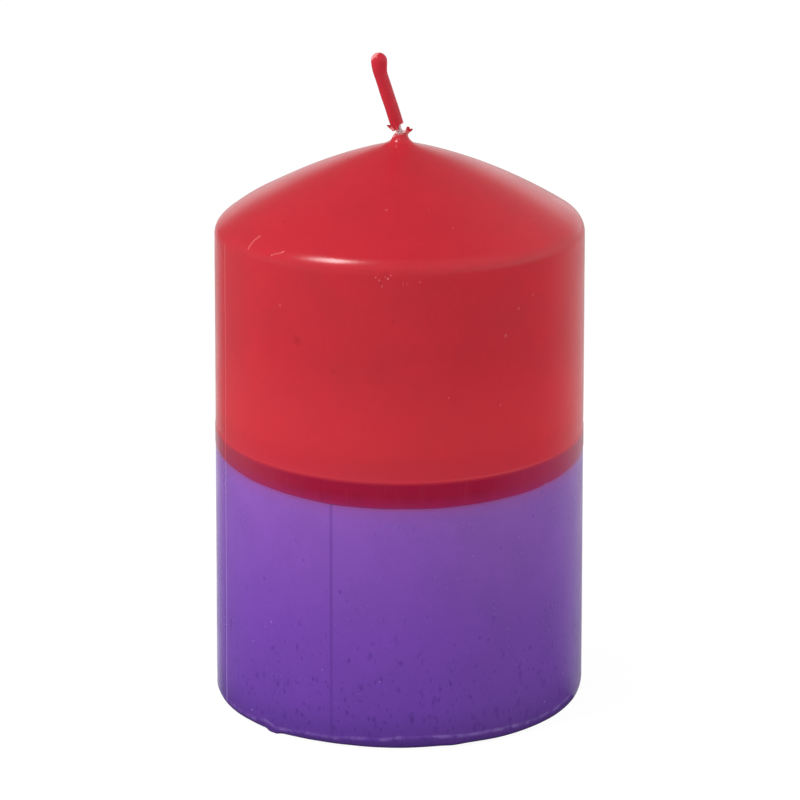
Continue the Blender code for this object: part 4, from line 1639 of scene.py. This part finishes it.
@dataclass
class Studio:
    """Camera, lamps, white surroundings and the pale floor."""

    camera_place: Vector = field(default_factory=lambda: Vector((0.00009, -0.680, 0.25985)))
    camera_pitch: float = 16.62  # degrees below level
    camera_roll: float = 0.055
    lens: float = 169.65
    sensor: float = 36.0
    lamp_place: Vector = field(default_factory=lambda: Vector((-0.316, -0.19, 0.587)))
    lamp_aim: Vector = field(default_factory=lambda: Vector((0.0, 0.0, 0.09)))
    lamp_size: Pair = (0.2, 0.18)
    lamp_power: float = 2.1
    floor_drop: float = 0.02 * MM
    floor_size: float = 3.0
    floor_grey: float = 0.65  # its own colour, which takes the candle's shadow
    floor_white: float = 1.1  # what the camera sees over that colour
    white_share: float = 0.86
    # How bright reflections show the floor before the candle and behind its left and right sides, next to the
    # white behind the candle
    front_floor: float = 0.05
    left_floor: float = 0.82
    right_floor: float = 0.62
    ceiling: float = 0.12  # how bright they show the studio overhead and at the front
    right_sheen: float = 0.36  # how much brighter they show its right side
    front_sheen: float = 0.28  # how much brighter they show it high up at the front
    fill: float = 0.93
    overhead_fill: float = 0.32
    side_fills: Table = ((-120.0, 1.75), (-70.0, 0.87), (76.0, 0.55), (120.0, 3.0))

    def add_camera(self) -> None:
        """Sets up the photograph's camera."""
        data = bpy.data.cameras.new("photo_camera")
        data.lens = self.lens
        data.sensor_width = self.sensor
        data.clip_start = 0.02
        data.clip_end = 50.0
        camera = bpy.data.objects.new("photo_camera", data)
        tilt = Matrix.Rotation(math.radians(90 - self.camera_pitch), 4, "X")
        roll = Matrix.Rotation(math.radians(self.camera_roll), 4, "Z")
        camera.matrix_world = Matrix.Translation(self.camera_place) @ tilt @ roll
        bpy.context.scene.collection.objects.link(camera)
        bpy.context.scene.camera = camera

    def add_world(self) -> None:
        """Gives the scene its white backdrop and soft fill light."""
        world = bpy.data.worlds.new("studio")
        bpy.context.scene.world = world
        world.use_nodes = True
        graph = Graph(world.node_tree)
        path = graph.node("ShaderNodeLightPath").outputs
        direction = graph.node("ShaderNodeTexCoord").outputs["Generated"]
        x, y, z = graph.axes(direction)
        sheen = graph.ease(x, 0.0, 0.8, self.ceiling, self.ceiling + self.right_sheen)
        front = graph.ease(y, -0.35, 0.1, self.front_sheen, 0.0)
        sheen = graph.math("MULTIPLY_ADD", graph.ease(z, 0.25, 0.6), front, sheen)
        behind = graph.ease(x, -0.6, 0.6, 0.7, 1.0)
        wide = graph.ease(x, -0.3, 0.3, 0.86, 0.6)
        back = graph.math("MULTIPLY", graph.ease(y, wide, 0.97), graph.ease(z, 0.1, 0.65, 1.0, 0.0))
        seen = graph.ease(back, 0.0, 1.0, sheen, behind)
        seen = graph.math("MAXIMUM", seen, path["Is Camera Ray"])
        white = graph.node("ShaderNodeBackground", {"Color": WHITE, "Strength": seen})
        fill = graph.ease(z, 0.3, 1.0, self.fill, self.overhead_fill)
        low = graph.ease(z, 0.0, 0.5, 1.0, 0.0)
        for azimuth, strength in self.side_fills:
            towards = graph.measure("DOT_PRODUCT", direction, outward_at(azimuth))
            fill = graph.math("MULTIPLY_ADD", graph.ease(towards, 0.2, 1.0, 0.0, strength), low, fill)
        fill = graph.node("ShaderNodeBackground", {"Color": WHITE, "Strength": fill})
        shown = graph.math("MAXIMUM", path["Is Camera Ray"], path["Is Glossy Ray"])
        shown = graph.math("MAXIMUM", shown, path["Is Transmission Ray"])
        mixed = graph.node("ShaderNodeMixShader", {0: shown, 1: fill.outputs[0], 2: white.outputs[0]})
        graph.feed(world.node_tree.nodes["World Output"].inputs["Surface"], mixed.outputs[0])

    def add_lamp(self) -> None:
        """Hangs a softbox high on the left of the camera."""
        data = bpy.data.lights.new("key_softbox", "AREA")
        data.shape = "RECTANGLE"
        data.size, data.size_y = self.lamp_size
        data.energy = self.lamp_power
        lamp = bpy.data.objects.new("key_softbox", data)
        turn = (self.lamp_aim - self.lamp_place).to_track_quat("-Z", "Y").to_matrix().to_4x4()
        lamp.matrix_world = Matrix.Translation(self.lamp_place) @ turn
        bpy.context.scene.collection.objects.link(lamp)

    def add_floor(self) -> None:
        """Lays the pale floor, which stays white to the camera but keeps the candle's soft shadow."""
        bm = bmesh.new()
        place = Matrix.Translation((0.0, 0.0, -self.floor_drop))
        bmesh.ops.create_grid(bm, x_segments=1, y_segments=1, size=self.floor_size / 2, matrix=place)
        mesh = bpy.data.meshes.new("floor")
        bm.to_mesh(mesh)
        bm.free()
        floor = bpy.data.objects.new("floor", mesh)
        bpy.context.scene.collection.objects.link(floor)
        mesh.materials.append(self.floor_material())

    def floor_material(self) -> Material:
        """Material of the floor, which reflections show darker before the candle than behind it."""
        grey = (self.floor_grey, self.floor_grey, self.floor_grey, 1.0)
        graph = MaterialGraph("pale_floor", 0.9, Base_Color=grey, Specular_IOR_Level=0.0)
        path = graph.node("ShaderNodeLightPath").outputs
        seen = graph.math("MAXIMUM", path["Is Camera Ray"], path["Is Glossy Ray"])
        x, y, _ = graph.axes(graph.place)
        beside = graph.math("SUBTRACT", graph.math("ABSOLUTE", x), 34 * MM)
        beyond = graph.math("ADD", y, 8 * MM)
        towards = graph.node("ShaderNodeCombineXYZ", {0: graph.math("MAXIMUM", beside, MM), 1: beyond})
        towards = graph.axes(graph.vector("NORMALIZE", towards.outputs[0]))[1]
        left = graph.ease(towards, -0.3, 0.5, self.front_floor, 0.15)
        left = graph.ease(towards, 0.8, 1.0, left, self.left_floor)
        right = graph.ease(towards, -0.15, 0.97, self.front_floor, self.right_floor)
        right = graph.math("MULTIPLY", right, graph.ease(y, 0.03, 0.2, 0.75, 1.0))
        white = graph.ease(x, -30 * MM, 30 * MM, left, right)
        to_camera = graph.math("MULTIPLY", path["Is Camera Ray"], self.floor_white)
        white = graph.math("MAXIMUM", white, to_camera)
        glow = graph.node("ShaderNodeEmission", {"Color": WHITE, "Strength": white}).outputs[0]
        share = graph.math("MULTIPLY", seen, self.white_share)
        mixed = graph.node("ShaderNodeMixShader", {0: share, 1: graph.shader.outputs[0], 2: glow})
        graph.feed(graph.tree.nodes["Material Output"].inputs["Surface"], mixed.outputs[0])
        return graph.material

    def build(self) -> None:
        """Sets up the whole studio."""
        self.add_camera()
        self.add_world()
        self.add_lamp()
        self.add_floor()
        bpy.context.scene.view_settings.view_transform = "Standard"


def main() -> None:
    """Builds the candle's looks and the studio."""
    logging.basicConfig(level=logging.INFO, format="%(name)s %(message)s")
    Studio().build()
    body = BodyShape()
    line = WickLine()
    effects = Effects()
    left_seam = Seam(azimuth=-69.2, slant=0.004, groove_shade=0.3, light=0.6, line_width=0.4 * MM)
    front_seam = Seam(azimuth=-20.9, ridge=0.1, depth=0.03 * MM, groove_shade=0.38, line_width=0.5 * MM)
    red = RedWax(effects, body, seams_shown=(left_seam,)).build()
    film_tints = {"wall": srgb(191, 41, 55), "cloud": srgb(183, 38, 52)}
    film = RedWax(effects, body, name="red_wax_film", specular=0.25, **film_tints).build()
    violet = VioletWax(effects, body, seams_shown=(left_seam, front_seam)).build()
    cotton = Cotton(effects).build()
    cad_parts["wax_core"].data.materials[0] = PlainWax(effects).build()
    RedDipCoat(body, (left_seam,)).build(red)
    VioletDipCoat(body, (left_seam, front_seam)).build(violet)
    WickFoot().build(TinPlate(effects).build())
    Wick(line).build(cotton)
    WickSheath(line).build(film)
    flakes = (
        Flake(
            "lip_flake", Body.WICK_END, Vector((-1.02, -0.95, 109.25)) * MM, -100.0,
            length=1.5 * MM, half_width=0.5 * MM, thickness=0.2 * MM, pitch=16.0, curl=34.0, roll=-48.0,
        ),
        Flake(
            "rim_flake", Body.CANDLE, Vector((1.2, -0.68, 108.35)) * MM, 52.0,
            length=1.68 * MM, half_width=0.38 * MM, thickness=0.22 * MM, pitch=54.0, curl=-14.0, roll=-50.0,
            notch=0.2, point_share=-0.6, cup=0.1 * MM,
        ),
    )
    for flake in flakes:
        flake.build(red)
    crumbs = (
        (1.04, -0.68, 108.8, 0.32), (1.28, -0.62, 109.02, 0.24), (0.74, -0.86, 108.58, 0.28),
        (-0.58, -0.84, 108.46, 0.27), (-0.24, -1.0, 108.22, 0.16),
    )
    Crumbs(crumbs).build(red)


if __name__ == "__main__":
    main()
